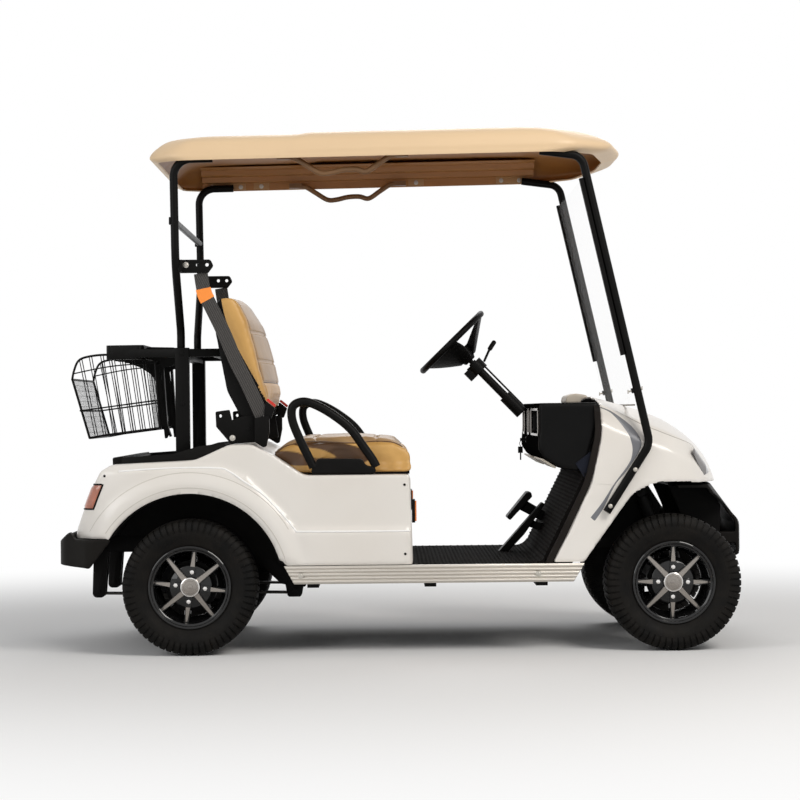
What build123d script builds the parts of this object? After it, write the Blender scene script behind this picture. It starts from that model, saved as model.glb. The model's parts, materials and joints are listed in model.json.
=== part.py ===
"""Two-seat electric golf cart: an assembly of separate solids, one STEP file per node.

Millimetres. +X is the front of the cart, +Y its left side, +Z up.
The origin is on the ground, under the middle of the cart's overall length.
Stations marked R_ are measured from the rear axle and F_ from the front axle.
"""
from build123d import *
import math
import os

os.makedirs("parts", exist_ok=True)

# ---------------------------------------------------------------- driving dimensions
WHEELBASE = 1650
REAR_OVERHANG = 455            # rear axle to the back of the rear bumper
FRONT_OVERHANG = 288           # front axle to the face of the front bumper
TRACK_REAR = 972
TRACK_FRONT = 950

TYRE_R = 232
TYRE_WIDTH = 196
TREAD_WIDTH = 172
TYRE_WALL = 14
RIM_SEAT_R = 127
RIM_LIP_R = 141
RIM_WIDTH = 168
RIM_WALL = 6

BODY_HALF_WIDTH = 562          # upper body sides
FLARE = 14                     # how far fenders and side skirts stand out from them
SHELL = 5                      # moulded body wall
FLOOR_Z = 290                  # top of the floor pan
FLOOR_THICK = 12
FLOOR_MAT = 13                 # ribbed mat on the floor pan
SILL_TOP = 302
SILL_BOTTOM = 240
SILL_THICK = 26

ROOF_LENGTH = 1642
ROOF_HALF_WIDTH = 585
ROOF_TOP = 1788
ROOF_DROP = 92                 # height of the roof's skirt
ROOF_WALL = 5
POST_D = 28

SEAT_HALF_WIDTH = 500
SEAT_BASE_TOP = 600            # top rim of the seat pod
BACK_HALF_WIDTH = 480
RACK_HALF = 360                # bag rack uprights, from the middle plane
RACK_TUBE = 48

DRIVER_Y = 250                 # steering wheel and pedals, left of the middle plane
STEER_WHEEL_R = 163
STEER_RIM_D = 24
STEER_RAKE = 46                # column's slope from the horizontal, degrees
COLUMN_D = 30

GAP = 0.3                      # between soft or curved neighbours
CLEAR = 6                      # between moving neighbours
PIN_PLAY = 0.05                # running clearance of a pin, radial

# ---------------------------------------------------------------- derived stations
OVERALL = REAR_OVERHANG + WHEELBASE + FRONT_OVERHANG
RX = REAR_OVERHANG - OVERALL / 2           # rear axle
FX = RX + WHEELBASE                        # front axle
AXLE_Z = TYRE_R
SIDE = BODY_HALF_WIDTH + FLARE             # outermost body side
ARCH_R = 320                               # rear wheel arch, about the rear axle


# ---------------------------------------------------------------- helpers
def block(x0, x1, y0, y1, z0, z1):
    """Box between two corners."""
    return Pos((x0 + x1) / 2, (y0 + y1) / 2, (z0 + z1) / 2) * Box(abs(x1 - x0), abs(y1 - y0), abs(z1 - z0))


def outline(rows, plane=Plane.XY):
    """Closed face from rows of (u, v, corner radius)."""
    points = [(row[0], row[1]) for row in rows]
    radii = [row[2] if len(row) > 2 else 0 for row in rows]
    edges = []
    count = len(points)
    starts, ends = [], []
    for i in range(count):
        p = Vector(*points[i])
        a = Vector(*points[i - 1])
        b = Vector(*points[(i + 1) % count])
        r = radii[i]
        if r == 0:
            starts.append(p)
            ends.append(p)
            continue
        to_a = (a - p).normalized()
        to_b = (b - p).normalized()
        half = math.radians(to_a.get_angle(to_b)) / 2
        run = r / math.tan(half)
        start = p + to_a * run
        end = p + to_b * run
        centre = p + (to_a + to_b).normalized() * (r / math.sin(half))
        middle = centre + (p - centre).normalized() * r
        edges.append(ThreePointArc(start, middle, end))
        starts.append(start)
        ends.append(end)
    for i in range(count):
        nxt = (i + 1) % count
        if (starts[nxt] - ends[i]).length > 1e-4:
            edges.append(Line(ends[i], starts[nxt]))
    return plane * make_face(edges)


SIDE_PLANE = Plane(origin=(0, 0, 0), x_dir=(1, 0, 0), z_dir=(0, -1, 0))    # u is X, v is Z
CROSS_PLANE = Plane(origin=(0, 0, 0), x_dir=(0, 1, 0), z_dir=(1, 0, 0))    # u is Y, v is Z


def side_prism(rows, y0, y1):
    """Outline of (x, z, radius) rows, extruded across from y0 to y1."""
    lo, hi = min(y0, y1), max(y0, y1)
    return extrude(Pos(0, hi, 0) * outline(rows, SIDE_PLANE), hi - lo)


def plan_prism(rows, z0, z1):
    """Outline of (x, y, radius) rows, extruded up from z0 to z1."""
    return extrude(Pos(0, 0, z0) * outline(rows), z1 - z0)


def shift(rows, dx):
    """The same rows, moved along u."""
    return [(row[0] + dx, *row[1:]) for row in rows]


def bent_bar(points, radius, bends):
    """Round bar along straight runs, with one bend radius or one for each corner."""
    path = FilletPolyline(*points, radius=bends)
    start = Plane(origin=path @ 0, z_dir=path % 0)
    return sweep(start * Circle(radius), path=path)


def rod_y(x, z, r, y0, y1):
    """Round bar along Y."""
    return Pos(x, (y0 + y1) / 2, z) * Rot(90, 0, 0) * Cylinder(r, abs(y1 - y0))


def rod_z(x, y, r, z0, z1):
    """Round bar along Z."""
    return Pos(x, y, (z0 + z1) / 2) * Cylinder(r, abs(z1 - z0))


def rod_between(a, b, r):
    """Round bar from point a to point b."""
    a, b = Vector(*a), Vector(*b)
    along = Plane(origin=a, z_dir=b - a)
    return extrude(along * Circle(r), (b - a).length)


def other_side(shape):
    """Mirror image across the middle plane."""
    return mirror(shape, about=Plane.XZ)


def write(name, *shapes):
    """One STEP file from one solid, or from solids that don't touch."""
    solids = []
    for shape in shapes:
        solids.extend(shape.solids())
    body = solids[0] if len(solids) == 1 else Compound(children=solids)
    export_step(body, f"parts/{name}.step")


# ---------------------------------------------------------------- wheels
LUG_PCD = 101.6
LUG_HOLE_R = 6.5
HUB_R = 72                     # rim's mounting disc
CAP_R = 31
SPOKE_TIP_R = 128
DISC_BACK = 22                 # mounting face, outboard of the wheel's middle
SPOKES = 8


def wheel_place(x, y):
    """Wheel frame: Z is outboard, along the axle."""
    out = 1 if y > 0 else -1
    return Plane(origin=(x, y, AXLE_Z), x_dir=(1, 0, 0), z_dir=(0, out, 0))


def make_tyre():
    """Tyre in wheel frame, its bead on the rim's seat."""
    half, tread = TYRE_WIDTH / 2, TREAD_WIDTH / 2
    bead = RIM_WIDTH / 2 - RIM_WALL - 2
    seat = RIM_SEAT_R + GAP
    # columns: radius, distance along the axle, corner radius
    outer = [(seat, -bead, 4), (RIM_LIP_R + 3, -bead, 12), (185, -half, 60), (TYRE_R, -tread, 22),
             (TYRE_R, tread, 22), (185, half, 60), (RIM_LIP_R + 3, bead, 12), (seat, bead, 4)]
    hollow = TYRE_WALL
    inner = [(seat, -bead + 18), (RIM_LIP_R + 10, -bead + 18, 10), (185, -half + hollow, 40),
             (TYRE_R - hollow, -tread + 8, 16), (TYRE_R - hollow, tread - 8, 16), (185, half - hollow, 40),
             (RIM_LIP_R + 10, bead - 18, 10), (seat, bead - 18)]
    section_plane = Plane(origin=(0, 0, 0), x_dir=(1, 0, 0), z_dir=(0, -1, 0))
    ring = outline(outer, section_plane) - outline(inner, section_plane)
    return revolve(ring, Axis.Z)


def make_rim():
    """Rim in wheel frame: barrel, mounting disc, eight spokes and a centre cap."""
    half = RIM_WIDTH / 2
    section_plane = Plane(origin=(0, 0, 0), x_dir=(1, 0, 0), z_dir=(0, -1, 0))
    # columns: radius, distance along the axle
    barrel = [(RIM_SEAT_R - RIM_WALL, -half), (RIM_LIP_R, -half, 2), (RIM_LIP_R, -half + RIM_WALL, 2),
              (RIM_SEAT_R, -half + RIM_WALL), (RIM_SEAT_R, half - RIM_WALL), (RIM_LIP_R, half - RIM_WALL, 2),
              (RIM_LIP_R, half, 2), (RIM_SEAT_R - RIM_WALL, half)]
    rim = revolve(outline(barrel, section_plane), Axis.Z)
    rim += Pos(0, 0, DISC_BACK + 6) * Cylinder(HUB_R, 12)
    spoke_face = DISC_BACK + 34
    # columns: distance from the axle, half width
    spoke = [(20, -15), (SPOKE_TIP_R - 34, -8), (RIM_SEAT_R - RIM_WALL / 2, -15),
             (RIM_SEAT_R - RIM_WALL / 2, 15), (SPOKE_TIP_R - 34, 8), (20, 15)]
    for i in range(SPOKES):
        angle = i * 360 / SPOKES
        arm = extrude(Pos(0, 0, DISC_BACK) * outline(spoke), spoke_face - DISC_BACK)
        rim += Rot(0, 0, angle) * arm
    for i in range(4):
        angle = i * 90
        rim -= Rot(0, 0, angle) * Pos(LUG_PCD / 2, 0, DISC_BACK + 38) * Cylinder(13, 52)
        rim += Rot(0, 0, angle) * Pos(LUG_PCD / 2, 0, DISC_BACK + 14) * Cylinder(9, 22)
    rim += Pos(0, 0, spoke_face - 4) * Cylinder(CAP_R + 4, 26)
    rim += Pos(0, 0, spoke_face + 10) * Cylinder(CAP_R, 12)
    rim -= Pos(0, 0, DISC_BACK) * Cylinder(HUB_PILOT_R + PIN_PLAY, 20)
    return rim


HUB_PILOT_R = 16               # axle stub's end, on which the wheel turns
HUB_PILOT = 10                 # its length inside the rim

tyre = make_tyre()
rim = make_rim()
# columns: name, x of the axle, y of the wheel's middle
WHEELS = [("front_left", FX, TRACK_FRONT / 2), ("front_right", FX, -TRACK_FRONT / 2),
          ("rear_left", RX, TRACK_REAR / 2), ("rear_right", RX, -TRACK_REAR / 2)]
for name, x, y in WHEELS:
    place = wheel_place(x, y).location
    write(f"tyre_{name}", place * tyre)
    write(f"rim_{name}", place * rim)

# ---------------------------------------------------------------- frame
RAIL_Y = 235                   # middle of each longitudinal rail, inside the front tyres' sweep
RAIL_W = 50
RAIL_H = 60
RAIL_TOP = FLOOR_Z - FLOOR_THICK
RAIL_Z0 = RAIL_TOP - RAIL_H
R_RAIL_END = -372              # behind the rear axle
F_RAIL_END = 196               # ahead of the front axle
KICK_Z = 120                   # the rails rise this much over each axle


RAIL_UP = RAIL_Z0 + KICK_Z
SPLIT_REAR = RX + 385          # where the rear frame joins the middle one
SPLIT_FRONT = FX - 420         # where the front frame joins it
KICK_TOP = RAIL_TOP + KICK_Z
# outlines of one rail: x, z, corner radius
RAIL_MIDDLE = [(SPLIT_REAR, RAIL_Z0, 0), (SPLIT_FRONT, RAIL_Z0, 0), (SPLIT_FRONT, RAIL_TOP, 0),
               (SPLIT_REAR, RAIL_TOP, 0)]
RAIL_REAR = [(RX + R_RAIL_END, RAIL_UP, 4), (RX + 175, RAIL_UP, 30), (RX + 300, RAIL_Z0, 30),
             (SPLIT_REAR, RAIL_Z0, 0), (SPLIT_REAR, RAIL_TOP, 0), (RX + 315, RAIL_TOP, 30),
             (RX + 195, KICK_TOP, 30), (RX + R_RAIL_END, KICK_TOP, 4)]
RAIL_FRONT = [(SPLIT_FRONT, RAIL_Z0, 0), (FX - 400, RAIL_Z0, 0), (FX - 260, RAIL_UP, 30),
              (FX + F_RAIL_END, RAIL_UP, 4), (FX + F_RAIL_END, KICK_TOP, 4), (FX - 280, KICK_TOP, 30),
              (SPLIT_FRONT, RAIL_TOP, 0)]


def rail_pair(rows):
    """The same length of both longitudinal rails."""
    half = RAIL_W / 2
    return side_prism(rows, RAIL_Y - half, RAIL_Y + half) + side_prism(rows, -RAIL_Y - half, -RAIL_Y + half)


def cross_member(x, half, z0):
    """Cross member between or over the rails."""
    return block(x - 20, x + 20, -half, half, z0, z0 + RAIL_H - 8)


OUTRIGGER = SIDE - SILL_THICK - 1
frame_rear = rail_pair(RAIL_REAR) + cross_member(RX + R_RAIL_END + 25, RAIL_Y, RAIL_UP + 8)
frame_front = rail_pair(RAIL_FRONT) + cross_member(FX + F_RAIL_END - 25, RAIL_Y, RAIL_UP + 8)
frame = rail_pair(RAIL_MIDDLE)
for x in (RX + 420, RX + 820, FX - 450):
    frame += cross_member(x, OUTRIGGER, RAIL_Z0 + 8)

# front shock absorbers: upper towers on the rails, lower pins on the axle beam
SHOCK_Y = 305
SHOCK_TOP = (FX - 84, 530)
SHOCK_LOW = (FX - 8, AXLE_Z + 72)
SHOCK_PIN_R = 7
for side in (1, -1):
    y0, y1 = side * (RAIL_Y + 6), side * (RAIL_Y + 14)
    tower = [(SHOCK_TOP[0] - 40, KICK_TOP - 12, 0), (SHOCK_TOP[0] + 40, KICK_TOP - 12, 0),
             (SHOCK_TOP[0] + 20, SHOCK_TOP[1] + 18, 16), (SHOCK_TOP[0] - 20, SHOCK_TOP[1] + 18, 16)]
    frame_front += side_prism(tower, y0, y1)
    frame_front += rod_y(*SHOCK_TOP, SHOCK_PIN_R, y0, side * (SHOCK_Y + 16))

# leaf spring seats: front eye bracket under the rail, rear shackle at the rail's end
SPRING_Y = RAIL_Y
EYE_FRONT = (RX + 345, 196)    # front eye of each leaf spring, x and z
EYE_REAR = (RX - 346, 200)     # rear eye, in the shackle
EYE_R = 15
SPRING_W = 44
for side in (1, -1):
    for inner in (-1, 1):
        y = side * SPRING_Y + inner * (SPRING_W / 2 + 4)
        ear = [(EYE_FRONT[0] - 24, EYE_FRONT[1] - 22, 10), (EYE_FRONT[0] + 24, EYE_FRONT[1] - 22, 10),
               (EYE_FRONT[0] + 34, RAIL_Z0 + 10), (EYE_FRONT[0] - 34, RAIL_Z0 + 10)]
        frame_rear += side_prism(ear, y - 3, y + 3)
        shackle = [(EYE_REAR[0] - 22, EYE_REAR[1] - 22, 16), (EYE_REAR[0] + 22, EYE_REAR[1] - 22, 16),
                   (EYE_REAR[0] + 36, KICK_TOP - RAIL_H + 10), (EYE_REAR[0] - 16, KICK_TOP - RAIL_H + 10)]
        frame_rear += side_prism(shackle, y - 3, y + 3)
    for x, z in (EYE_FRONT, EYE_REAR):
        frame_rear += rod_y(x, z, 7, side * SPRING_Y - 34, side * SPRING_Y + 34)

write("frame", frame)
write("frame_rear", frame_rear)
write("frame_front", frame_front)

# ---------------------------------------------------------------- rear axle and springs
AXLE_TUBE_R = 30
HUB_FACE_REAR = TRACK_REAR / 2 + DISC_BACK     # rims' mounting plane


def drum(face_y):
    """Brake drum and hub between the axle and the rim's mounting face."""
    out = 1 if face_y > 0 else -1
    body = rod_y(RX, AXLE_Z, 88, face_y - out * 78, face_y - out * 24)
    body += rod_y(RX, AXLE_Z, 40, face_y - out * 26, face_y - out * 1)
    body += rod_y(RX, AXLE_Z, HUB_PILOT_R, face_y - out * 2, face_y + out * HUB_PILOT)
    return body


rear_axle = rod_y(RX, AXLE_Z, AXLE_TUBE_R, -HUB_FACE_REAR + 60, HUB_FACE_REAR - 60)
rear_axle += drum(HUB_FACE_REAR) + drum(-HUB_FACE_REAR)
rear_axle += rod_y(RX, AXLE_Z, 82, 60, 130)                   # differential housing
MOTOR_X = RX - 132
MOTOR_Z = AXLE_Z + 24
MOTOR_R = 78
MOTOR_Y = 60                   # motor's mounting face on the gear case
rear_axle += side_prism([(MOTOR_X - 70, MOTOR_Z - 70, 40), (RX, AXLE_Z - 80, 0), (RX, AXLE_Z + 80, 0),
                         (MOTOR_X - 70, MOTOR_Z + 70, 40)], MOTOR_Y, MOTOR_Y + 60)
LEAF_TOP = AXLE_Z - AXLE_TUBE_R - 10       # top of the leaf pack under the axle
LEAF_T = 22
for side in (1, -1):
    y = side * SPRING_Y
    rear_axle += block(RX - 40, RX + 40, y - 30, y + 30, LEAF_TOP, AXLE_Z - AXLE_TUBE_R + 2)
write("rear_axle", rear_axle)

motor = rod_y(MOTOR_X, MOTOR_Z, MOTOR_R, MOTOR_Y - 210, MOTOR_Y)
motor += rod_y(MOTOR_X, MOTOR_Z, MOTOR_R - 24, MOTOR_Y - 228, MOTOR_Y - 209)
write("drive_motor", motor)


def leaf_spring(y):
    """Leaf pack from the front eye, under the axle, to the rear eye."""
    mid = LEAF_TOP - LEAF_T / 2
    front, rear = EYE_FRONT, EYE_REAR
    # columns: x, z of the main leaf's upper face
    top = [(rear[0], rear[1] - 4), (RX - 170, mid + 12), (RX - 70, LEAF_TOP), (RX + 70, LEAF_TOP),
           (RX + 180, mid + 14), (front[0], front[1] - 4)]
    low = [(x, z - 8) for x, z in reversed(top)]
    rows = [(x, z, 0) for x, z in top + low]
    main = side_prism(rows, y - SPRING_W / 2, y + SPRING_W / 2)
    main += side_prism([(RX - 110, LEAF_TOP - LEAF_T, 0), (RX + 110, LEAF_TOP - LEAF_T, 0),
                        (RX + 150, LEAF_TOP - 2, 0), (RX - 150, LEAF_TOP - 2, 0)],
                       y - SPRING_W / 2, y + SPRING_W / 2)
    for x, z in (front, rear):
        main += rod_y(x, z, EYE_R, y - SPRING_W / 2, y + SPRING_W / 2)
        main -= rod_y(x, z, 7 + PIN_PLAY, y - SPRING_W / 2 - 1, y + SPRING_W / 2 + 1)
    return main


write("leaf_springs", leaf_spring(SPRING_Y), leaf_spring(-SPRING_Y))

# ---------------------------------------------------------------- front axle, knuckles, tie rod
KING_Y = TRACK_FRONT / 2 - 108             # kingpin axis
KING_HALF = 56                             # half height of the kingpin
FORK_GAP = 1                               # between fork and knuckle
FORK_SWEEP = 45                            # room inside the fork for the steering arm's root
HUB_FACE_FRONT = TRACK_FRONT / 2 + DISC_BACK
ARM_X = -105                               # steering arm's ball, behind the kingpin
ARM_Z = AXLE_Z - 26
BEAM_TOP = AXLE_Z + 22

front_axle = block(FX - 26, FX + 26, -KING_Y + 30, KING_Y - 30, AXLE_Z - 20, BEAM_TOP)
for side in (1, -1):
    y = side * KING_Y
    web = block(FX - 20, FX + 20, y, y - side * 62, AXLE_Z - 52, AXLE_Z + 52)
    front_axle += web + rod_z(FX, y, 24, AXLE_Z - 52, AXLE_Z + 52)
    front_axle -= rod_z(FX, y, FORK_SWEEP, AXLE_Z - 30, AXLE_Z + 30)
    front_axle -= block(FX - 40, FX + 40, y, y + side * 60, AXLE_Z - 30, AXLE_Z + 30)
    front_axle += rod_z(FX, y, 10, AXLE_Z - KING_HALF, AXLE_Z + KING_HALF)
    ear_y = side * (SHOCK_Y - 26)
    front_axle += side_prism([(FX - 26, BEAM_TOP - 2, 0), (FX + 18, BEAM_TOP - 2, 0),
                              (SHOCK_LOW[0] + 14, SHOCK_LOW[1] + 14, 12), (SHOCK_LOW[0] - 14, SHOCK_LOW[1] + 14, 12)],
                             ear_y, ear_y + side * 8)
    front_axle += rod_y(*SHOCK_LOW, SHOCK_PIN_R, ear_y, side * (SHOCK_Y + 16))
# spring pads carry the frame rails' front ends
for side in (1, -1):
    y = side * RAIL_Y
    front_axle += block(FX - 34, FX + 34, y - 22, y + 22, BEAM_TOP - 2, KICK_TOP - RAIL_H)
write("front_axle", front_axle)


def knuckle(side):
    """Steering knuckle: sleeve on the kingpin, stub axle, drum and steering arm."""
    y = side * KING_Y
    face = side * HUB_FACE_FRONT
    body = rod_z(FX, y, 22, AXLE_Z - 30 + FORK_GAP, AXLE_Z + 30 - FORK_GAP)
    body += rod_y(FX, AXLE_Z, 20, y, face - side * 20)
    body += rod_y(FX, AXLE_Z, 84, face - side * 66, face - side * 24)
    body += rod_y(FX, AXLE_Z, 40, face - side * 26, face - side * 1)
    body += rod_y(FX, AXLE_Z, HUB_PILOT_R, face - side * 2, face + side * HUB_PILOT)
    arm = [(FX, y - 14, 0), (FX, y + 14, 0), (FX + ARM_X - 14, y + 12, 8), (FX + ARM_X - 14, y - 12, 8)]
    body += plan_prism(arm, ARM_Z, ARM_Z + 12)
    body -= rod_z(FX, y, 10 + PIN_PLAY, AXLE_Z - 40, AXLE_Z + 40)
    return body


for name, side in (("left", 1), ("right", -1)):
    write(f"knuckle_{name}", knuckle(side))

tie_z = ARM_Z - GAP - 11
tie = rod_y(FX + ARM_X, tie_z, 9, -KING_Y + 6, KING_Y - 6)
for side in (1, -1):
    tie += rod_z(FX + ARM_X, side * KING_Y, 13, tie_z - 11, tie_z + 11)
write("tie_rod", tie)

# ---------------------------------------------------------------- floor
TOE_TOP = (FX - 285, 600)                  # toe board's upper end, x and z
SEAT_FRONT = RX + 761                      # seat pod's front face
TOE_X = FX - 437                           # where the floor starts to rise
floor_rows = [(RX + 345, FLOOR_Z - FLOOR_THICK, 0), (TOE_X + 6, FLOOR_Z - FLOOR_THICK, 70),
              (TOE_TOP[0] + 20, TOE_TOP[1] - 8, 0), (TOE_TOP[0], TOE_TOP[1], 0), (TOE_X - 3, FLOOR_Z, 60),
              (RX + 345, FLOOR_Z, 0)]
FLOOR_HALF = SIDE - SILL_THICK - 1
TOE_HALF = BODY_HALF_WIDTH - 44            # toe board, between the cowl's legs
LEG_X = FX - 440               # rear edge of the cowl's legs


def floor_piece(rows):
    """Floor layer: full width between the sills, narrower between the cowl's legs."""
    piece = side_prism(rows, -FLOOR_HALF, FLOOR_HALF)
    for side in (1, -1):
        piece -= block(LEG_X, FX, side * TOE_HALF, side * (FLOOR_HALF + 1), FLOOR_Z - 20, 700)
    return piece


floor_pan = floor_piece(floor_rows)
write("floor_pan", floor_pan)
mat_rows = [(SEAT_FRONT + 2, FLOOR_Z, 0), (TOE_X - 3, FLOOR_Z, 60), (TOE_TOP[0], TOE_TOP[1], 0),
            (TOE_TOP[0] - 12, TOE_TOP[1] + 5, 0), (TOE_X - 12, FLOOR_Z + FLOOR_MAT, 50),
            (SEAT_FRONT + 2, FLOOR_Z + FLOOR_MAT, 0)]
floor_mat = floor_piece(mat_rows)
write("floor_mat", floor_mat)

# ---------------------------------------------------------------- sills
sill_rows = [(RX + 356, SILL_BOTTOM, 0), (FX - 343, SILL_BOTTOM, 0), (FX - 305, SILL_TOP, 0),
             (RX + 322, SILL_TOP, 0)]
SILL_RIB = 5
sill = side_prism(sill_rows, SIDE - SILL_THICK, SIDE - SILL_RIB)
for i in range(5):
    z = SILL_BOTTOM + 4 + i * 12
    rib = side_prism(sill_rows, SIDE - SILL_RIB - 0.5, SIDE)
    sill += rib & block(RX, FX, SIDE - SILL_THICK, SIDE + 1, z, z + 7)
write("sill_left", sill)
write("sill_right", other_side(sill))

# ---------------------------------------------------------------- rear body
POD_TOP = SEAT_BASE_TOP + 10
BODY_BASE = SILL_TOP + GAP
DECK_Z = 653                               # rim of the bag well, at the tail
CREST_Z = 718                  # highest line of the rear body, behind the seat
DECK_RISE = 12                             # higher towards the seat
# columns: x, z, corner radius
body_top = [(SEAT_FRONT, BODY_BASE, 0), (SEAT_FRONT - 6, POD_TOP, 6), (RX + 393, POD_TOP, 40),
            (RX + 289, 680, 60), (RX + 215, CREST_Z, 40), (RX + 141, CREST_Z, 40), (RX + 20, DECK_Z + DECK_RISE, 60),
            (RX - 262, DECK_Z, 14), (RX - 302, 630, 20), (RX - 330, 575, 60), (RX - 392, 432, 20),
            (RX - 400, 400, 0)]
body_floor = [(RX - 260, 400, 0), (RX + 250, 400, 0), (RX + 330, BODY_BASE, 0)]
upper = side_prism(body_top + body_floor, -BODY_HALF_WIDTH, BODY_HALF_WIDTH)
# the flared lower side, below the crease line
crease = [(SEAT_FRONT - 1, BODY_BASE, 0), (SEAT_FRONT - 3, 418, 0), (RX + 366, 418, 14), (RX + 318, 484, 60),
          (RX + 205, 600, 130), (RX + 105, 638, 60), (RX - 250, 632, 30), (RX - 306, 620, 20),
          (RX - 330, 575, 60), (RX - 392, 432, 20), (RX - 400, 400, 0)]
flared = side_prism(crease + body_floor, -SIDE, SIDE)
plan = [(RX - 420, -SIDE + 6, 170), (SEAT_FRONT + 20, -SIDE, 20), (SEAT_FRONT + 20, SIDE, 20),
        (RX - 420, SIDE - 6, 170)]
plan_cut = plan_prism(plan, 200, 800)
shell = (upper + flared) & plan_cut

inner_rows = [(SEAT_FRONT - SHELL, BODY_BASE - 5, 0), (SEAT_FRONT - 6 - SHELL, POD_TOP - SHELL, 3),
              (RX + 390, POD_TOP - SHELL, 40), (RX + 289, 672, 55), (RX + 213, 712, 36), (RX + 143, 712, 36),
              (RX + 22, DECK_Z + DECK_RISE - SHELL, 60), (RX - 260, DECK_Z - SHELL, 10),
              (RX - 297, 627, 18), (RX - 325, 573, 58), (RX - 387, 432, 18), (RX - 395, 390, 0),
              (RX - 260, 390, 0), (RX + 248, 390, 0), (RX + 328, BODY_BASE - 5, 0)]
inner = side_prism(inner_rows, -BODY_HALF_WIDTH + SHELL, BODY_HALF_WIDTH - SHELL)
inner &= plan_prism([(RX - 415, -SIDE + 12, 166), (SEAT_FRONT + 15, -SIDE + 6, 20),
                     (SEAT_FRONT + 15, SIDE - 6, 20), (RX - 415, SIDE - 12, 166)], 200, 800)
shell -= inner
# wheel arches, through both sides
shell -= rod_y(RX, AXLE_Z, ARCH_R, -SIDE - 5, SIDE + 5)
# bag well: open top behind the seat crest
WELL_X0 = RX - 238
WELL_X1 = RX + 60
WELL_HALF = BODY_HALF_WIDTH - 92
shell -= block(WELL_X0, WELL_X1 + 60, -WELL_HALF, WELL_HALF, 560, 760)
# seat lid's hinge: ears and pins on the crest
HINGE = (RX + 300, 690)        # axis, x and z
HINGE_Y = 250
HINGE_PIN_R = 5
for side in (1, -1):
    for edge in (-30, 30):
        y = side * HINGE_Y + edge
        ear = [(HINGE[0] - 24, 660, 0), (HINGE[0] + 14, 658, 0), (HINGE[0] + 9, HINGE[1] + 8, 8),
               (HINGE[0] - 9, HINGE[1] + 8, 8)]
        shell += side_prism(ear, y - 3, y + 3)
    shell += rod_y(*HINGE, HINGE_PIN_R, side * HINGE_Y - 31, side * HINGE_Y + 31)
# battery bay mouth, under the seat lid
BAY_X0 = RX + 400
BAY_X1 = SEAT_FRONT - 45
BAY_HALF = BODY_HALF_WIDTH - 122
shell -= block(BAY_X0, BAY_X1, -BAY_HALF, BAY_HALF, 560, 700)
write("rear_body", shell)

# ---------------------------------------------------------------- bag deck
DECK_T = 6
deck_half = WELL_HALF - GAP
deck = block(WELL_X0 + 1, WELL_X1 + 59, -deck_half, deck_half, DECK_Z - 60, DECK_Z - 60 + DECK_T)
deck += block(WELL_X0 + 1, WELL_X0 + 1 + DECK_T, -deck_half, deck_half, DECK_Z - 60, DECK_Z + 22)
deck += block(WELL_X1 + 53, WELL_X1 + 59, -deck_half, deck_half, DECK_Z - 60, 722)
for side in (1, -1):
    wall = side_prism([(WELL_X0 + 1, DECK_Z - 60, 0), (WELL_X1 + 59, DECK_Z - 60, 0), (WELL_X1 + 59, 722, 0),
                       (WELL_X1 - 30, 712, 0), (RX - 60, DECK_Z + 33, 0), (WELL_X0 + 1, DECK_Z + 22, 0)],
                      side * deck_half, side * (deck_half - DECK_T))
    deck += wall
write("bag_deck", deck)

# ---------------------------------------------------------------- rear wheel liners
LINER_IN = TRACK_REAR / 2 - 156            # inner face, from the middle plane
LINER_WALL = 4.7
liner_out = SIDE - SHELL - 8


def rear_liner(side):
    """Half-round inner fender over one rear wheel."""
    y0, y1 = side * LINER_IN, side * liner_out
    arch = rod_y(RX, AXLE_Z, ARCH_R - GAP, y0, y1)
    arch -= rod_y(RX, AXLE_Z, ARCH_R - LINER_WALL, y0 + side * LINER_WALL, y1 + side)
    keep = side_prism([(RX - 262, 400, 0), (RX - 262, 600, 0), (RX + 320, 600, 0), (RX + 320, 312, 0),
                       (RX + 250, 312, 0), (RX, 400, 0)], y0, y1)
    return arch & keep


write("rear_liners", rear_liner(1), rear_liner(-1))

# ---------------------------------------------------------------- rear bumper
BUMPER_T = 30
bumper_plan = [(RX - REAR_OVERHANG, -SIDE + 106, 90), (RX - 340, -SIDE, 60), (RX - 262, -SIDE, 0),
               (RX - 262, -SIDE + 8, 0), (RX - 330, -SIDE + 16, 40), (RX - REAR_OVERHANG + BUMPER_T, -SIDE + 136, 60),
               (RX - REAR_OVERHANG + BUMPER_T, SIDE - 136, 60), (RX - 330, SIDE - 16, 40), (RX - 262, SIDE - 8, 0),
               (RX - 262, SIDE, 0), (RX - 340, SIDE, 60), (RX - REAR_OVERHANG, SIDE - 106, 90)]
bumper_side = [(RX - REAR_OVERHANG - 2, 308, 0), (RX - 340, 299, 10), (RX - 262, 399, 0), (RX - 400, 399, 0),
               (RX - 408, 430, 12), (RX - REAR_OVERHANG - 2, 388, 10)]
bumper = plan_prism(bumper_plan, 250, 440) & side_prism(bumper_side, -SIDE - 1, SIDE + 1)
for side in (1, -1):
    bumper += block(RX - REAR_OVERHANG + 10, RX + R_RAIL_END - GAP, side * RAIL_Y - 20, side * RAIL_Y + 20,
                    KICK_TOP - 50, KICK_TOP - 10)
write("rear_bumper", bumper)

# ---------------------------------------------------------------- battery
BATTERY_TOP = 540
BATTERY_HALF = BAY_HALF - 40
write("battery_pack", block(RX + 400, SEAT_FRONT - 30, -BATTERY_HALF, BATTERY_HALF, FLOOR_Z, BATTERY_TOP))

# ---------------------------------------------------------------- front cowl
COWL_WALL = 5
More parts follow.
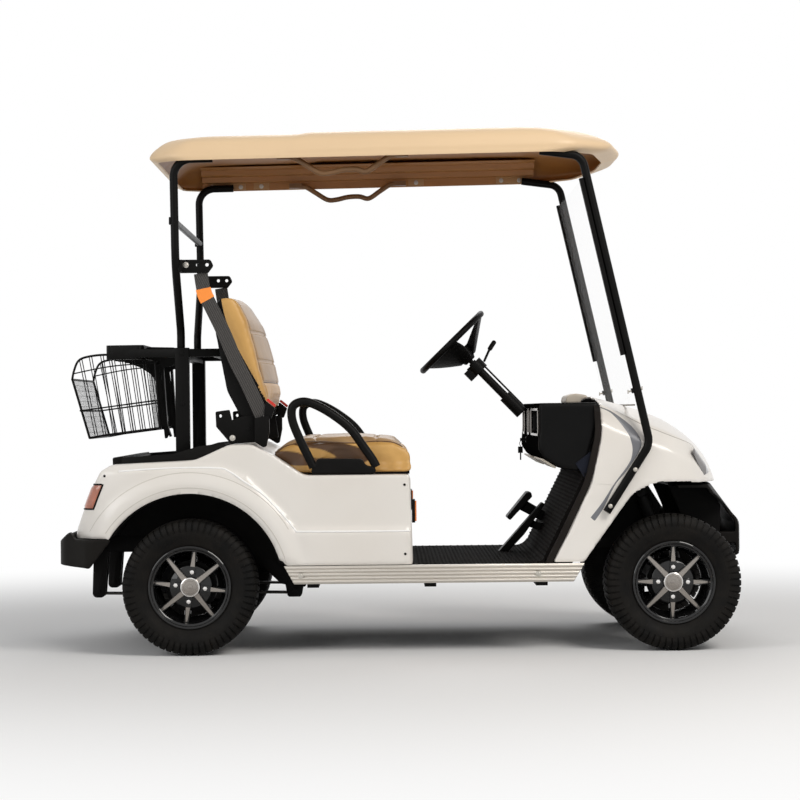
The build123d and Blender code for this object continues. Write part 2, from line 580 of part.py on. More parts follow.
# columns: x from the front axle, insets of the base and of the shoulder from the body's half width,
# z of the shoulder, z at the middle
COWL_ROWS = [(-440, 2, 17, 850, 905), (-245, 2, 32, 838, 852), (-175, 2, 38, 803, 845),
             (-60, 0, 42, 755, 818), (30, 2, 57, 716, 778), (86, 14, 92, 682, 740),
             (130, 42, 142, 625, 700), (168, 122, 222, 570, 640), (186, 232, 302, 545, 578)]
COWL = [(x, BODY_HALF_WIDTH - base, BODY_HALF_WIDTH - shoulder, z_side, z_mid)
        for x, base, shoulder, z_side, z_mid in COWL_ROWS]
COWL_BASE = 250
SHOULDER_R = 26


def cowl_section(x, base, shoulder, z_side, z_mid, inset):
    """Cross-section of the cowl at one station, shrunk by an inset."""
    base, shoulder = base - inset, shoulder - inset
    z_side, z_mid = z_side - inset, z_mid - inset
    rows = [(-base, COWL_BASE, 0), (base, COWL_BASE, 0), (shoulder, z_side, SHOULDER_R),
            (shoulder * 0.55, z_mid - 4, 60), (-shoulder * 0.55, z_mid - 4, 60), (-shoulder, z_side, SHOULDER_R)]
    return Pos(FX + x, 0, 0) * outline(rows, CROSS_PLANE)


def cowl_loft(inset):
    """Ruled skin through the cowl's stations."""
    sections = [cowl_section(*row, inset) for row in COWL]
    return loft(sections, ruled=True)


def cowl_half(x, z):
    """Half width of the cowl's side at station x from the front axle and height z."""
    for (x0, b0, s0, z0, _), (x1, b1, s1, z1, _) in zip(COWL, COWL[1:]):
        if x0 <= x <= x1:
            t = (x - x0) / (x1 - x0)
            base, shoulder, top = b0 + t * (b1 - b0), s0 + t * (s1 - s0), z0 + t * (z1 - z0)
            return base + (shoulder - base) * (z - COWL_BASE) / (top - COWL_BASE)
    return COWL[-1][1]


cowl_side = [(FX - 414, BODY_BASE, 0), (FX - 368, 389, 200), (FX - 277, 575, 300), (FX - 240, 741, 200),
             (FX - 244, 860, 0), (FX + 200, 860, 0), (FX + 200, 569, 0), (FX - 60, 571, 60),
             (FX - 138, 533, 60), (FX - 307, BODY_BASE, 0)]
cowl = cowl_loft(0) & side_prism(cowl_side, -SIDE, SIDE)
hollow = cowl_loft(COWL_WALL) & block(FX - 500, FX + 186 - COWL_WALL, -SIDE, SIDE, 200, 900)
cowl -= hollow
write("front_cowl", cowl)

# ---------------------------------------------------------------- cowl edge trim
TRIM_W = 20
trim_rows = [(FX - 414, BODY_BASE, 0), (FX - 368, 389, 200), (FX - 277, 575, 300), (FX - 240, 741, 200),
             (FX - 244, 838, 0), (FX - 264, 838, 0), (FX - 260, 741, 190), (FX - 299, 578, 290),
             (FX - 392, 389, 190), (FX - 438, BODY_BASE, 0)]
trim_left = side_prism(shift(trim_rows, -GAP), TOE_HALF + GAP, SIDE)
trim_left &= cowl_loft(0)
write("cowl_trim", trim_left, other_side(trim_left))

# ---------------------------------------------------------------- dash
DASH_HALF = TOE_HALF
# columns: x, z, corner radius
dash_rows = [(FX - 451, 848, 6), (FX - 451, 759, 20), (FX - 456, 691, 14), (FX - 436, 659, 10),
             (FX - 374, 621, 14), (FX - 320, 612, 10), (FX - 292, 640, 60), (FX - 262, 741, 120),
             (FX - 245, 800, 0), (FX - 245, 848, 6)]
dash = side_prism(dash_rows, -DASH_HALF, DASH_HALF)
BIN_DEPTH = 130
BIN_SIDE = DASH_HALF - 78
BINS = [(-BIN_SIDE, -60), (60, 150), (350, BIN_SIDE)]      # y span of each glove bin
for y0, y1 in BINS:
    dash -= block(FX - 460, FX - 451 + BIN_DEPTH, y0, y1, 742, 822)
pod = side_prism([(FX - 312, 848 + GAP, 0), (FX - 308, 874, 14), (FX - 276, 884, 14), (FX - 236, 878, 12),
                  (FX - 226, 866, 0), (FX - 250, 862, 0), (FX - 256, 848 + GAP, 0)], 130, 380)
write("dash", dash)
write("instrument_pod", pod)

# ---------------------------------------------------------------- front bumper and liners
FRONT_WALL = 12
FRONT_BOW = 52                 # how far the bumper's ends sit behind its middle
FRONT_NOSE = FX + FRONT_OVERHANG
BUMPER_TOP_HALF = BODY_HALF_WIDTH - 132     # under the hood
BUMPER_LOW_HALF = RAIL_Y + 21              # between the front tyres' sweep
BUMPER_SHOULDER_Z = TYRE_R * 2 + CLEAR     # above the tyres
# columns: x, z, corner radius; outer face, then the face of the hollow behind it
front_outer = [(FX + 30, 562, 0), (FX + 176, 562, 10), (FRONT_NOSE - 8, 420, 24), (FRONT_NOSE, 320, 12),
               (FRONT_NOSE - 60, 290, 0), (FX + 30, 290, 0)]
front_inner = [(FX, 550, 0), (FX + 170, 550, 8), (FRONT_NOSE - 22, 414, 20), (FRONT_NOSE - 14, 330, 8),
               (FRONT_NOSE - 66, 302, 0), (FRONT_NOSE - 66, 250, 0), (FX, 250, 0)]
# columns: y, z, corner radius
front_face = [(-BUMPER_LOW_HALF, 280, 0), (BUMPER_LOW_HALF, 280, 0), (BUMPER_LOW_HALF, BUMPER_SHOULDER_Z, 0),
              (BUMPER_TOP_HALF, BUMPER_SHOULDER_Z + 60, 0), (BUMPER_TOP_HALF, 570, 0),
              (-BUMPER_TOP_HALF, 570, 0), (-BUMPER_TOP_HALF, BUMPER_SHOULDER_Z + 60, 0),
              (-BUMPER_LOW_HALF, BUMPER_SHOULDER_Z, 0)]


def bow_plan(wall):
    """Plan of the bumper's bowed face, set back by a wall."""
    nose = FRONT_NOSE - wall
    bow = [(FX - 10, -1, 0), (nose - FRONT_BOW, -1, 0), (nose, -0.3, 500), (nose, 0.3, 500),
           (nose - FRONT_BOW, 1, 0), (FX - 10, 1, 0)]
    return plan_prism([(x, y * BUMPER_TOP_HALF, r) for x, y, r in bow], 240, 580)


front_solid = side_prism(front_outer, -BUMPER_TOP_HALF, BUMPER_TOP_HALF) & bow_plan(0)
front_hollow = side_prism(front_inner, -BUMPER_TOP_HALF - 1, BUMPER_TOP_HALF + 1)
front_bumper = front_solid - (front_hollow & bow_plan(FRONT_WALL))
front_bumper &= extrude(Pos(FX, 0, 0) * outline(front_face, CROSS_PLANE), FRONT_OVERHANG + 10)
for side in (1, -1):
    stay = block(FX + F_RAIL_END + GAP, FRONT_NOSE, side * RAIL_Y - 20, side * RAIL_Y + 20,
                 KICK_TOP - 50, KICK_TOP - 10)
    front_bumper += stay & front_solid
write("front_bumper", front_bumper)


FRONT_LINER_IN = TRACK_FRONT / 2 - 99


def front_liner(side):
    """Inner wheel screen behind one front wheel, from the sill up to the hood."""
    rows = [(FX - 322, BODY_BASE + 4, 0), (FX - 150, 538, 60), (FX - 64, 578, 0), (FX + 20, 578, 0),
            (FX + 20, 574, 0), (FX - 63, 574, 0), (FX - 146, 534, 60), (FX - 316, BODY_BASE + 4, 0)]
    return side_prism(rows, side * FRONT_LINER_IN, side * SIDE) & cowl_loft(COWL_WALL + GAP)


write("front_liners", front_liner(1), front_liner(-1))

shocks = []
for side in (1, -1):
    low = Vector(SHOCK_LOW[0], side * SHOCK_Y, SHOCK_LOW[1])
    top = Vector(SHOCK_TOP[0], side * SHOCK_Y, SHOCK_TOP[1])
    middle = low + (top - low) * 0.5
    shock = rod_between(low, top, 9) + rod_between(middle, top - (top - low) * 0.06, 24)
    for eye in (SHOCK_LOW, SHOCK_TOP):
        shock += rod_y(*eye, 15, side * (SHOCK_Y - 12), side * (SHOCK_Y + 12))
    for eye in (SHOCK_LOW, SHOCK_TOP):
        shock -= rod_y(*eye, SHOCK_PIN_R + PIN_PLAY, side * (SHOCK_Y - 14), side * (SHOCK_Y + 14))
    shocks.append(shock)
write("front_shocks", *shocks)

# ---------------------------------------------------------------- steering column and wheel
rake = math.radians(STEER_RAKE)
COLUMN_DIR = Vector(math.cos(rake), 0, -math.sin(rake))
WHEEL_MID = Vector(FX - 726, DRIVER_Y, 1081)
SHAFT_R = 9                    # steering shaft, in the hub's bore
STEER_DISH = 100               # from the rim's plane down to the hub's end
steer = Plane(origin=WHEEL_MID, x_dir=(0, 1, 0), z_dir=-COLUMN_DIR)      # Z towards the driver
rim_mid_r = STEER_WHEEL_R - STEER_RIM_D / 2
wheel = revolve(Pos(rim_mid_r, 0, 0) * Rot(90, 0, 0) * Circle(STEER_RIM_D / 2), Axis.Z)
wheel += Pos(0, 0, -60) * Cylinder(40, 34)
wheel += Pos(0, 0, -STEER_DISH / 2 - 34) * Cone(22, 38, 32)
for angle in (0, 120, 240):
    # columns: distance from the column, z
    rows = [(25, -76, 0), (25, -48, 0), (rim_mid_r - 4, 7, 0), (rim_mid_r + 4, -6, 0), (rim_mid_r - 10, -10, 0)]
    spoke_plane = Plane(origin=(0, 0, 0), x_dir=(1, 0, 0), z_dir=(0, -1, 0))
    spoke_web = extrude(Pos(0, 16, 0) * outline(rows, spoke_plane), 32)
    wheel += Rot(0, 0, angle - 90) * spoke_web
wheel -= Pos(0, 0, -STEER_DISH + 12) * Cylinder(SHAFT_R + PIN_PLAY, 26)
write("steering_wheel", steer.location * wheel)

COLUMN_TOP = STEER_DISH + CLEAR            # along the column from the rim's plane
COLUMN_END = 372
column_frame = Plane(origin=WHEEL_MID, x_dir=(0, 1, 0), z_dir=COLUMN_DIR)    # Z down the column
column = Pos(0, 0, (COLUMN_TOP + COLUMN_END) / 2) * Cylinder(COLUMN_D / 2, COLUMN_END - COLUMN_TOP)
column += Pos(0, 0, COLUMN_TOP - 7) * Cylinder(SHAFT_R, 40)
column += Pos(0, 0, COLUMN_TOP + 27) * Cylinder(33, 42)
column += Pos(0, 0, COLUMN_END - 45) * Cylinder(24, 90)
column += Pos(0, 24, COLUMN_TOP + 130) * Cylinder(3.5, 240)
column += Pos(0, -34, COLUMN_TOP + 30) * Box(44, 34, 40)
column = column_frame.location * column
column -= side_prism(dash_rows, -DASH_HALF, DASH_HALF)
column = max(column.solids(), key=lambda solid: solid.volume)
write("steering_column", column)

lever_a = WHEEL_MID + COLUMN_DIR * (COLUMN_TOP + 30) + Vector(math.sin(rake), 0, math.cos(rake)) * (33 + 1.5)
lever = rod_between(lever_a, lever_a + Vector(22, 26, 46), 5)
lever += rod_between(lever_a + Vector(22, 26, 46), lever_a + Vector(42, 50, 76), 9)
write("shift_lever", lever - column)

# ---------------------------------------------------------------- pedals
PEDAL_W = 90
MAT_TOP = FLOOR_Z + FLOOR_MAT
brake_rows = [(FX - 530, 424, 4), (FX - 516, 412, 4), (FX - 432, 500, 4), (FX - 436, 518, 8), (FX - 452, 518, 8)]
brake = side_prism(brake_rows, DRIVER_Y - 20, DRIVER_Y + 90)
brake_stem = [(FX - 482, 452, 0), (FX - 452, 484, 0), (FX - 352, 424, 0), (FX - 369, 392, 0)]
brake += side_prism(brake_stem, DRIVER_Y + 22, DRIVER_Y + 46)


def seated_pedal(pedal):
    """Pedal with its stem cut off at the mat."""
    pieces = (pedal - floor_mat - floor_pan).solids()
    return max(pieces, key=lambda solid: solid.volume)


write("brake_pedal", seated_pedal(brake))
gas_rows = [(FX - 566, MAT_TOP + GAP, 0), (FX - 530, MAT_TOP + GAP, 0), (FX - 470, 366, 20),
            (FX - 392, 476, 4), (FX - 404, 484, 4)]
gas = side_prism(gas_rows, DRIVER_Y - 140, DRIVER_Y - 75)
gas_stem = [(FX - 462, 396, 0), (FX - 447, 418, 0), (FX - 372, 400, 0), (FX - 384, 368, 0)]
gas += side_prism(gas_stem, DRIVER_Y - 118, DRIVER_Y - 98)
write("accelerator_pedal", seated_pedal(gas))

# ---------------------------------------------------------------- roof
ROOF_X0 = RX - 128
ROOF_X1 = ROOF_X0 + ROOF_LENGTH
ROOF_EDGE = ROOF_TOP - ROOF_DROP           # skirt's lower edge
ROOF_TILT = 0.8                            # nose up, degrees


ROOF_NOSE_HALF = 150           # half width of the nose's straight part
ROOF_NOSE_R = 400


def roof_outline(z, inset_side, inset_rear, inset_front, rear_r, front_r):
    """Roof plan at one height, inset from the skirt's outline: angular rear, rounded nose."""
    y = ROOF_HALF_WIDTH - inset_side
    x0, x1 = ROOF_X0 + inset_rear, ROOF_X1 - inset_front
    rows = [(x0, -y + 60, rear_r), (x0 + 90, -y, rear_r), (x1 - 200, -y, front_r),
            (x1 - 60, -y + 120, front_r - 20), (x1, -ROOF_NOSE_HALF, ROOF_NOSE_R),
            (x1, ROOF_NOSE_HALF, ROOF_NOSE_R), (x1 - 60, y - 120, front_r - 20),
            (x1 - 200, y, front_r), (x0 + 90, y, rear_r), (x0, y - 60, rear_r)]
    return Pos(0, 0, z) * outline(rows)


# columns: height above the skirt's edge, insets at the sides, rear and front, corner radii
ROOF_RINGS = [(0, 0, 26, 60, 45, 120), (14, 0, 0, 8, 45, 120), (38, 6, 10, 0, 45, 120),
              (78, 34, 66, 96, 45, 110), (ROOF_DROP, 120, 160, 220, 45, 100)]


def roof_solid(inset, drop):
    """Closed roof form through its rings, shrunk by an inset and lowered."""
    rings = []
    for rise, sides, rear, front, rear_r, front_r in ROOF_RINGS:
        z = ROOF_EDGE + rise - (drop if rise else 3)
        rings.append(roof_outline(z, sides + inset, rear + inset, front + inset, rear_r - 1, front_r - 2)
                     if inset else roof_outline(ROOF_EDGE + rise, sides, rear, front, rear_r, front_r))
    return loft(rings, ruled=True)


roof_pivot = Axis((RX + WHEELBASE / 2, 0, ROOF_TOP), (0, 1, 0))
roof_skin = roof_solid(0, 0) - roof_solid(ROOF_WALL, ROOF_WALL)
RAIL_ROOF_Y = ROOF_HALF_WIDTH - 80         # inner roof rails, over the posts' tops
ROOF_RAIL_Z = ROOF_EDGE + 22
for side in (1, -1):
    roof_skin += block(ROOF_X0 + 40, ROOF_X1 - 110, side * RAIL_ROOF_Y, side * (ROOF_HALF_WIDTH - 16),
                       ROOF_RAIL_Z, ROOF_RAIL_Z + 10) & roof_solid(0, 0)
roof = roof_skin.rotate(roof_pivot, -ROOF_TILT)
write("roof", roof)


def roof_z(x):
    """Height of the underside of the roof's inner rails at one station."""
    return ROOF_RAIL_Z + (x - RX - WHEELBASE / 2) * math.tan(math.radians(ROOF_TILT))


# ---------------------------------------------------------------- posts
FRONT_POST_Y = ROOF_HALF_WIDTH - 45
REAR_POST_Y = ROOF_HALF_WIDTH - 37
post_r = POST_D / 2


POST_KINK = (-76, 706)         # where the front post leaves the cowl's side
POST_BEND = (-298, 1690)       # where it turns back under the roof


def front_post(side):
    """Front post: along the cowl's side, up past the windshield, back under the roof."""
    y_low = side * (cowl_half(-228, 475) + post_r + 3 * GAP)
    y = side * FRONT_POST_Y
    top_x = FX - 352
    top_z = roof_z(top_x - 90) - post_r - GAP
    points = [(FX - 228, y_low, 475), (FX + POST_KINK[0], y, POST_KINK[1]),
              (FX + POST_BEND[0], y, POST_BEND[1]), (top_x - 90, y, top_z)]
    return bent_bar(points, post_r, [70, 50])


write("front_posts", front_post(1), front_post(-1))

REAR_POST_X = RX - 38
RACK_TOP = 1054
BAR_Z = 1480


def rear_post(side):
    """Rear post: up from the bag rack, outward, then forward under the roof."""
    y_top = side * REAR_POST_Y
    y_low = side * RACK_HALF
    top_z = roof_z(REAR_POST_X) - post_r - GAP
    points = [(REAR_POST_X, y_low, RACK_TOP + GAP), (REAR_POST_X, y_low, 1110), (REAR_POST_X, y_top, 1330),
              (REAR_POST_X - 4, y_top, top_z), (REAR_POST_X + 130, y_top, roof_z(REAR_POST_X + 130) - post_r - GAP)]
    return bent_bar(points, post_r, [60, 160, 60])


rear_posts = rear_post(1) + rear_post(-1)
rear_posts += rod_y(REAR_POST_X - 2, BAR_Z, 11, -REAR_POST_Y, REAR_POST_Y)
write("rear_posts", rear_posts)

# ---------------------------------------------------------------- grab handles
HANDLE_Y = ROOF_HALF_WIDTH - 65
HANDLE_D = 20
HANDLE_X = RX + 350
# columns: x from the handle's rear end, z below the roof rail
HANDLE = [(0, 0), (32, -12), (110, -58), (185, -48), (262, -56), (338, -12), (370, 0)]


def grab_handle(side):
    """Wavy grab handle under one roof rail, with a foot at each end."""
    y = side * HANDLE_Y
    points = [(HANDLE_X + dx, y, roof_z(HANDLE_X + dx) + dz - 12) for dx, dz in HANDLE]
    handle = bent_bar(points, HANDLE_D / 2, 30)
    for dx in (-16, 386):
        x = HANDLE_X + dx
        handle += block(x - 24, x + 24, y - 14, y + 14, roof_z(x) - 22, roof_z(x - 24) - 0.5)
    return handle


write("grab_handles", grab_handle(1), grab_handle(-1))

# ---------------------------------------------------------------- windshield
GLASS_T = 5
CHANNEL_T = 13                 # depth of the edge channel behind the post
CHANNEL_W = 30
GLASS_TOP = 80                 # along the post, below its bend
GLASS_LENGTH = 792
GLASS_CORNER = 60              # the lower corners are cut up this much
post_low = Vector(FX + POST_KINK[0], 0, POST_KINK[1])
post_high = Vector(FX + POST_BEND[0], 0, POST_BEND[1])
post_down = (post_low - post_high).normalized()
post_back = Vector(-post_down.Z, 0, post_down.X) * -1
if post_back.X > 0:
    post_back = post_back * -1
# u is across the cart, v is down along the posts, and the plane lies on the posts' backs
glass_plane = Plane(origin=post_high + post_back * (post_r + GAP), x_dir=(0, 1, 0), z_dir=post_back)
GLASS_IN = 4                   # glass behind the channel's front lip
glass_half = FRONT_POST_Y + 4
glass_rows = [(-glass_half, GLASS_TOP, 20), (glass_half, GLASS_TOP, 20),
              (glass_half, GLASS_TOP + GLASS_LENGTH - GLASS_CORNER, 40),
              (glass_half * 0.6, GLASS_TOP + GLASS_LENGTH, 120), (-glass_half * 0.6, GLASS_TOP + GLASS_LENGTH, 120),
              (-glass_half, GLASS_TOP + GLASS_LENGTH - GLASS_CORNER, 40)]
glass = extrude(outline(glass_rows, glass_plane.offset(GLASS_IN)), GLASS_T)
write("windshield", glass)
channels = []
for side in (1, -1):
    y = side * FRONT_POST_Y
    rows = [(y - CHANNEL_W / 2, GLASS_TOP - 6, 0), (y + CHANNEL_W / 2, GLASS_TOP - 6, 0),
            (y + CHANNEL_W / 2, GLASS_TOP + 614, 0), (y - CHANNEL_W / 2, GLASS_TOP + 614, 0)]
    slot = extrude(outline(glass_rows, glass_plane.offset(GLASS_IN - GAP)), GLASS_T + 2 * GAP)
    channels.append(extrude(outline(rows, glass_plane), CHANNEL_T) - slot)
write("windshield_channels", *channels)

# ---------------------------------------------------------------- seat back
# columns: x, z, corner radius
back_front = [(RX + 118, 1216, 30), (RX + 176, 1206, 40), (RX + 243, 1045, 120), (RX + 262, 880, 60),
              (RX + 252, 838, 8), (RX + 228, 842, 6), (RX + 96, 1190, 20)]
back_cushion = side_prism(back_front, -BACK_HALF_WIDTH, BACK_HALF_WIDTH)
write("backrest_cushion", back_cushion)
shell_rows = [(RX + 82, 1212, 6), (RX + 92, 1216, 0), (RX + 95 - GAP, 1190, 20), (RX + 228 - GAP, 841, 10),
              (RX + 250, 838 - GAP, 0), (RX + 246, 815, 6), (RX + 180, 800, 10), (RX + 128, 900, 40),
              (RX + 74, 1190, 20)]
back_shell = side_prism(shell_rows, -BACK_HALF_WIDTH + 6, BACK_HALF_WIDTH - 6)
write("backrest_shell", back_shell)

BRACKET_Y = BACK_HALF_WIDTH - 50
hinges = []
for side in (1, -1):
    ear = side_prism([(RX + 88, 830, 6), (RX + 134, 836, 4), (RX + 142, 800, 0), (RX + 178, 812, 0),
                      (RX + 250, 822, 6), (RX + 262, 726, 8), (RX + 140, CREST_Z + GAP, 6), (RX + 90, 778, 6)],
                     side * BRACKET_Y, side * (BRACKET_Y + 50))
    ear -= rod_y(RX + 104, 815, 6, side * (BRACKET_Y - 1), side * (BRACKET_Y + 51))
    ear -= back_shell
    ear -= back_cushion
    hinges.append(max(ear.solids(), key=lambda solid: solid.volume))
write("backrest_brackets", *hinges)

# ---------------------------------------------------------------- bag rack
RACK_X = RX - 34
DECK_TOP = DECK_Z - 60 + DECK_T
rack = None
for side in (1, -1):
    y = side * RACK_HALF
    upright = block(RACK_X - RACK_TUBE / 2, RACK_X + RACK_TUBE / 2, y - 20, y + 20, DECK_TOP, RACK_TOP)
    arm = block(RX - 200, RX + 120, y - 14, y + 14, 1022, RACK_TOP - 4)
    rack = upright + arm if rack is None else rack + upright + arm
rack += block(RACK_X - 18, RACK_X + 18, -RACK_HALF, RACK_HALF, 1012, RACK_TOP - 2)
rack += block(RX + 70, RX + 120, -RACK_HALF, RACK_HALF, 1022, RACK_TOP - 4)
rack += block(RX - 190, RX - 172, -RACK_HALF, RACK_HALF, 1024, RACK_TOP - 6)
rack_cut = side_prism([(RX + 128, 900, 0), (RX + 74, 1190, 0), (RX + 200, 1190, 0), (RX + 200, 900, 0)],
                      -RACK_HALF - 40, RACK_HALF + 40)
rack -= rack_cut
# bag holder: two cradles behind the rack, for one bag each
for y in (-RACK_HALF / 2, RACK_HALF / 2):
    holder_rows = [(RX - 305, y - 150, 30), (RX - 170, y - 172, 20), (RX - 170, y + 172, 20), (RX - 305, y + 150, 30)]
    cut_rows = [(RX - 330, y - 112, 30), (RX - 205, y - 120, 60), (RX - 205, y + 120, 60), (RX - 330, y + 112, 30)]
    rack += plan_prism(holder_rows, 1016, 1066) - plan_prism(cut_rows, 1000, 1100)
    # bent strip down the front of the basket
    rack += side_prism([(RX - 176, 1022, 0), (RX - 127 + GAP, 1022, 0), (RX - 112 + GAP, 780, 0),
                        (RX - 96, 742, 0), (RX - 90, 744, 0), (RX - 104, 784, 0), (RX - 119, 1030, 0),
                        (RX - 176, 1030, 0)], y - 20, y + 20)
write("bag_rack", rack)

# ---------------------------------------------------------------- basket
BASKET_HALF = RACK_HALF - 60
WIRE = 6
basket_rows = [(RX - 432, 1000, 0), (RX - 127, 1012, 0), (RX - 112, 775, 0), (RX - 366, 742, 0)]
basket_out = side_prism(basket_rows, -BASKET_HALF, BASKET_HALF)
basket_in = side_prism([(RX - 424, 1010, 0), (RX - 134, 1020, 0), (RX - 119, 782, 0), (RX - 360, 750, 0)],
                       -BASKET_HALF + WIRE, BASKET_HALF - WIRE)
write("basket", basket_out - basket_in)

# ---------------------------------------------------------------- belts
BELT_Y = BACK_HALF_WIDTH + 18
BELT_HOLE_R = 6
belts = []
anchors = []
for side in (1, -1):
    y = side * BELT_Y
    rows = [(RX + 38, 1306, 0), (RX + 80, 1306, 0), (RX + 269, 815 + GAP, 0), (RX + 229, 807 + GAP, 0)]
    belts.append(side_prism(rows, y - 1.5, y + 1.5))
    plate = side_prism([(REAR_POST_X + 10, 1352, 4), (RX + 78, 1352, 10), (RX + 88, 1330, 10), (RX + 70, 1306 + GAP, 4),
                        (REAR_POST_X + 10, 1306 + GAP, 4)], side * (BELT_Y - 6), side * (BELT_Y + 6))
    for x in (RX + 34, RX + 66):
        plate -= rod_y(x, 1334, BELT_HOLE_R, side * (BELT_Y - 10), side * (BELT_Y + 10))
    plate += block(REAR_POST_X + 8, REAR_POST_X + 22, side * (BELT_Y - 6), side * (REAR_POST_Y - 4), 1308, 1350)
    anchors.append(max((plate - rear_posts).solids(), key=lambda solid: solid.volume))
write("seat_belts", *belts)
write("belt_anchors", *anchors)
retractors = []
for side in (1, -1):
    y0, y1 = side * (BACK_HALF_WIDTH + GAP), side * (BACK_HALF_WIDTH + 32)
    box = side_prism([(RX + 224, 806, 4), (RX + 274, 816, 4), (RX + 274, 760, 6), (RX + 262, 700, 10),
                      (RX + 224, 724, 10)], y0, y1)
    retractors.append(box)
write("belt_retractors", *retractors)

# ---------------------------------------------------------------- lamps and reflectors
lamp_rows = [(FX + 76, 676, 4), (FX + 84, 690, 4), (FX + 150, 606, 4), (FX + 118, 592, 4)]
lamps = []
for side in (1, -1):
    y0, y1 = side * (BODY_HALF_WIDTH - 232), side * (BODY_HALF_WIDTH - 2)
    slab = side_prism(lamp_rows, y0, y1)
    lamp = slab & (cowl_loft(-3) - cowl_loft(-GAP))
    lamps.append(max(lamp.solids(), key=lambda solid: solid.volume))
write("headlamps", *lamps)
tails = []
for side in (1, -1):
    inner_y, outer_y = side * (SIDE - 276), side * (SIDE + 4)
    slab = plan_prism([(RX - 400, inner_y, 0), (RX - 400, outer_y, 0), (RX - 270, outer_y, 0),
                       (RX - 290, inner_y, 0)], 500, 590)
    skin = side_prism(shift(body_top[:-1] + [(RX - 400, 400, 0)], -4) + [(RX, 400, 0), (RX, BODY_BASE, 0)], -SIDE, SIDE)
    tail = slab & skin - side_prism(shift(body_top[:-1] + [(RX - 400, 400, 0)], -GAP) +
                                    [(RX, 400, 0), (RX, BODY_BASE, 0)], -SIDE, SIDE)
    tails.append(max(tail.solids(), key=lambda solid: solid.volume))
write("tail_lamps", *tails)
reflectors = []
for side in (1, -1):
    y = side * (SIDE - 60)
    case = block(SEAT_FRONT - 7, SEAT_FRONT + 16, y - 20, y + 20, 444, 524) - shell
    reflectors.append(max(case.solids(), key=lambda solid: solid.volume))
write("reflectors", *reflectors)

# ---------------------------------------------------------------- seat lid: board, cushion, hip restraints
BOARD_Z0 = POD_TOP + GAP
BOARD_Z1 = BOARD_Z0 + 16
board = block(BAY_X0 + 12, SEAT_FRONT - 8, -SEAT_HALF_WIDTH + 10, SEAT_HALF_WIDTH - 10, BOARD_Z0, BOARD_Z1)
for side in (1, -1):
    y0, y1 = side * HINGE_Y - 25, side * HINGE_Y + 25
    leaf = [(HINGE[0], HINGE[1] - 7, 0), (HINGE[0] + 3, HINGE[1], 0), (BAY_X0 + 12, BOARD_Z0 + 14, 0),
            (BAY_X0 + 24, BOARD_Z0 + 14, 0), (BAY_X0 + 24, BOARD_Z0 + 5, 0), (BAY_X0 + 6, BOARD_Z0 + 5, 0)]
    board += side_prism(leaf, y0, y1) + rod_y(*HINGE, HINGE_PIN_R + 4, y0, y1)
    board -= rod_y(*HINGE, HINGE_PIN_R + PIN_PLAY, y0 - 1, y1 + 1)
write("seat_board", board)
cushion_rows = [(RX + 322, 686, 14), (RX + 420, BOARD_Z1 + GAP, 0), (RX + 726, BOARD_Z1 + GAP, 20),
                (RX + 760, 668, 30), (RX + 726, 712, 60), (RX + 560, 742, 200), (RX + 400, 738, 60),
                (RX + 306, 704, 10)]
write("seat_cushion", side_prism(cushion_rows, -SEAT_HALF_WIDTH, SEAT_HALF_WIDTH))
HIP_Y = SEAT_HALF_WIDTH + 34
HIP_D = 28
hips = []
for side in (1, -1):
    y = side * HIP_Y
    points = [(RX + 436, y, 634), (RX + 330, y, 815), (RX + 368, y, 872), (RX + 470, y, 852), (RX + 560, y, 770),
              (RX + 650, y, 660), (RX + 640, y, 634)]
    hip = bent_bar(points, HIP_D / 2, [40, 40, 60, 60, 18])
    hip += block(RX + 420, RX + 660, y - 12, y + 12, 622, 640)
    hip += block(RX + 480, RX + 600, side * (SEAT_HALF_WIDTH - 10 + GAP), side * (HIP_Y), BOARD_Z0 + 2, BOARD_Z1)
    hips.append(hip)
write("hip_restraints", *hips)
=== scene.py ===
"""Looks of the two-seat golf cart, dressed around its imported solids.

Metres. +X is the front of the cart, +Y its left side and +Z up; the origin is on the ground.
Rows of numbers are in millimetres where a comment says so, and measured from an axle.
In order: mesh tools, finishes, rear body, cowl, roof, wheels, cushions, belts, hip restraints, basket,
mat, eased hard parts, lines and trims, lamps and bolts, and the stage with its light and camera.
"""
import json
import math

import bmesh
import bpy
import numpy as np
from mathutils import Matrix, Vector
from mathutils.bvhtree import BVHTree


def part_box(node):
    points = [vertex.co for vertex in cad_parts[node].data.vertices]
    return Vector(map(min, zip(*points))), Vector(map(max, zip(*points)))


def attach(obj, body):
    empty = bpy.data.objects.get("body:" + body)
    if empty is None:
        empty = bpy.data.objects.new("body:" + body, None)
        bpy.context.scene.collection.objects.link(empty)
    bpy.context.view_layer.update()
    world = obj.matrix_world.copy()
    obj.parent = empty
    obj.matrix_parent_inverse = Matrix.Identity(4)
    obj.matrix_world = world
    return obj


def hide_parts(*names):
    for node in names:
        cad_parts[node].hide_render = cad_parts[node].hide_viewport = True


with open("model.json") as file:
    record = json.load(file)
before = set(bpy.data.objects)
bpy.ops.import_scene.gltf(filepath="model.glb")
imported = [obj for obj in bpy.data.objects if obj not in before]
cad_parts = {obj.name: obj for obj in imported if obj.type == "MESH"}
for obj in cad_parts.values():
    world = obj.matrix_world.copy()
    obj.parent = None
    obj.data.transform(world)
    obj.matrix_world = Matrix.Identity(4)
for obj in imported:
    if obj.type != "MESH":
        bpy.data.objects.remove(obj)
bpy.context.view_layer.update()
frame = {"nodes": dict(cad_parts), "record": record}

MM = 0.001
SIDES = (-1, 1)
HANDS = ((-1, "right"), (1, "left"))


def middle(node):
    """Middle of a node's box at rest."""
    low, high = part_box(node)
    return (low + high) / 2


RX = middle("rim_rear_right").x
FX = middle("rim_front_right").x
AXLE_Z = middle("rim_rear_right").z
BODY_HALF = 562 * MM
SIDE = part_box("rear_body")[1].y


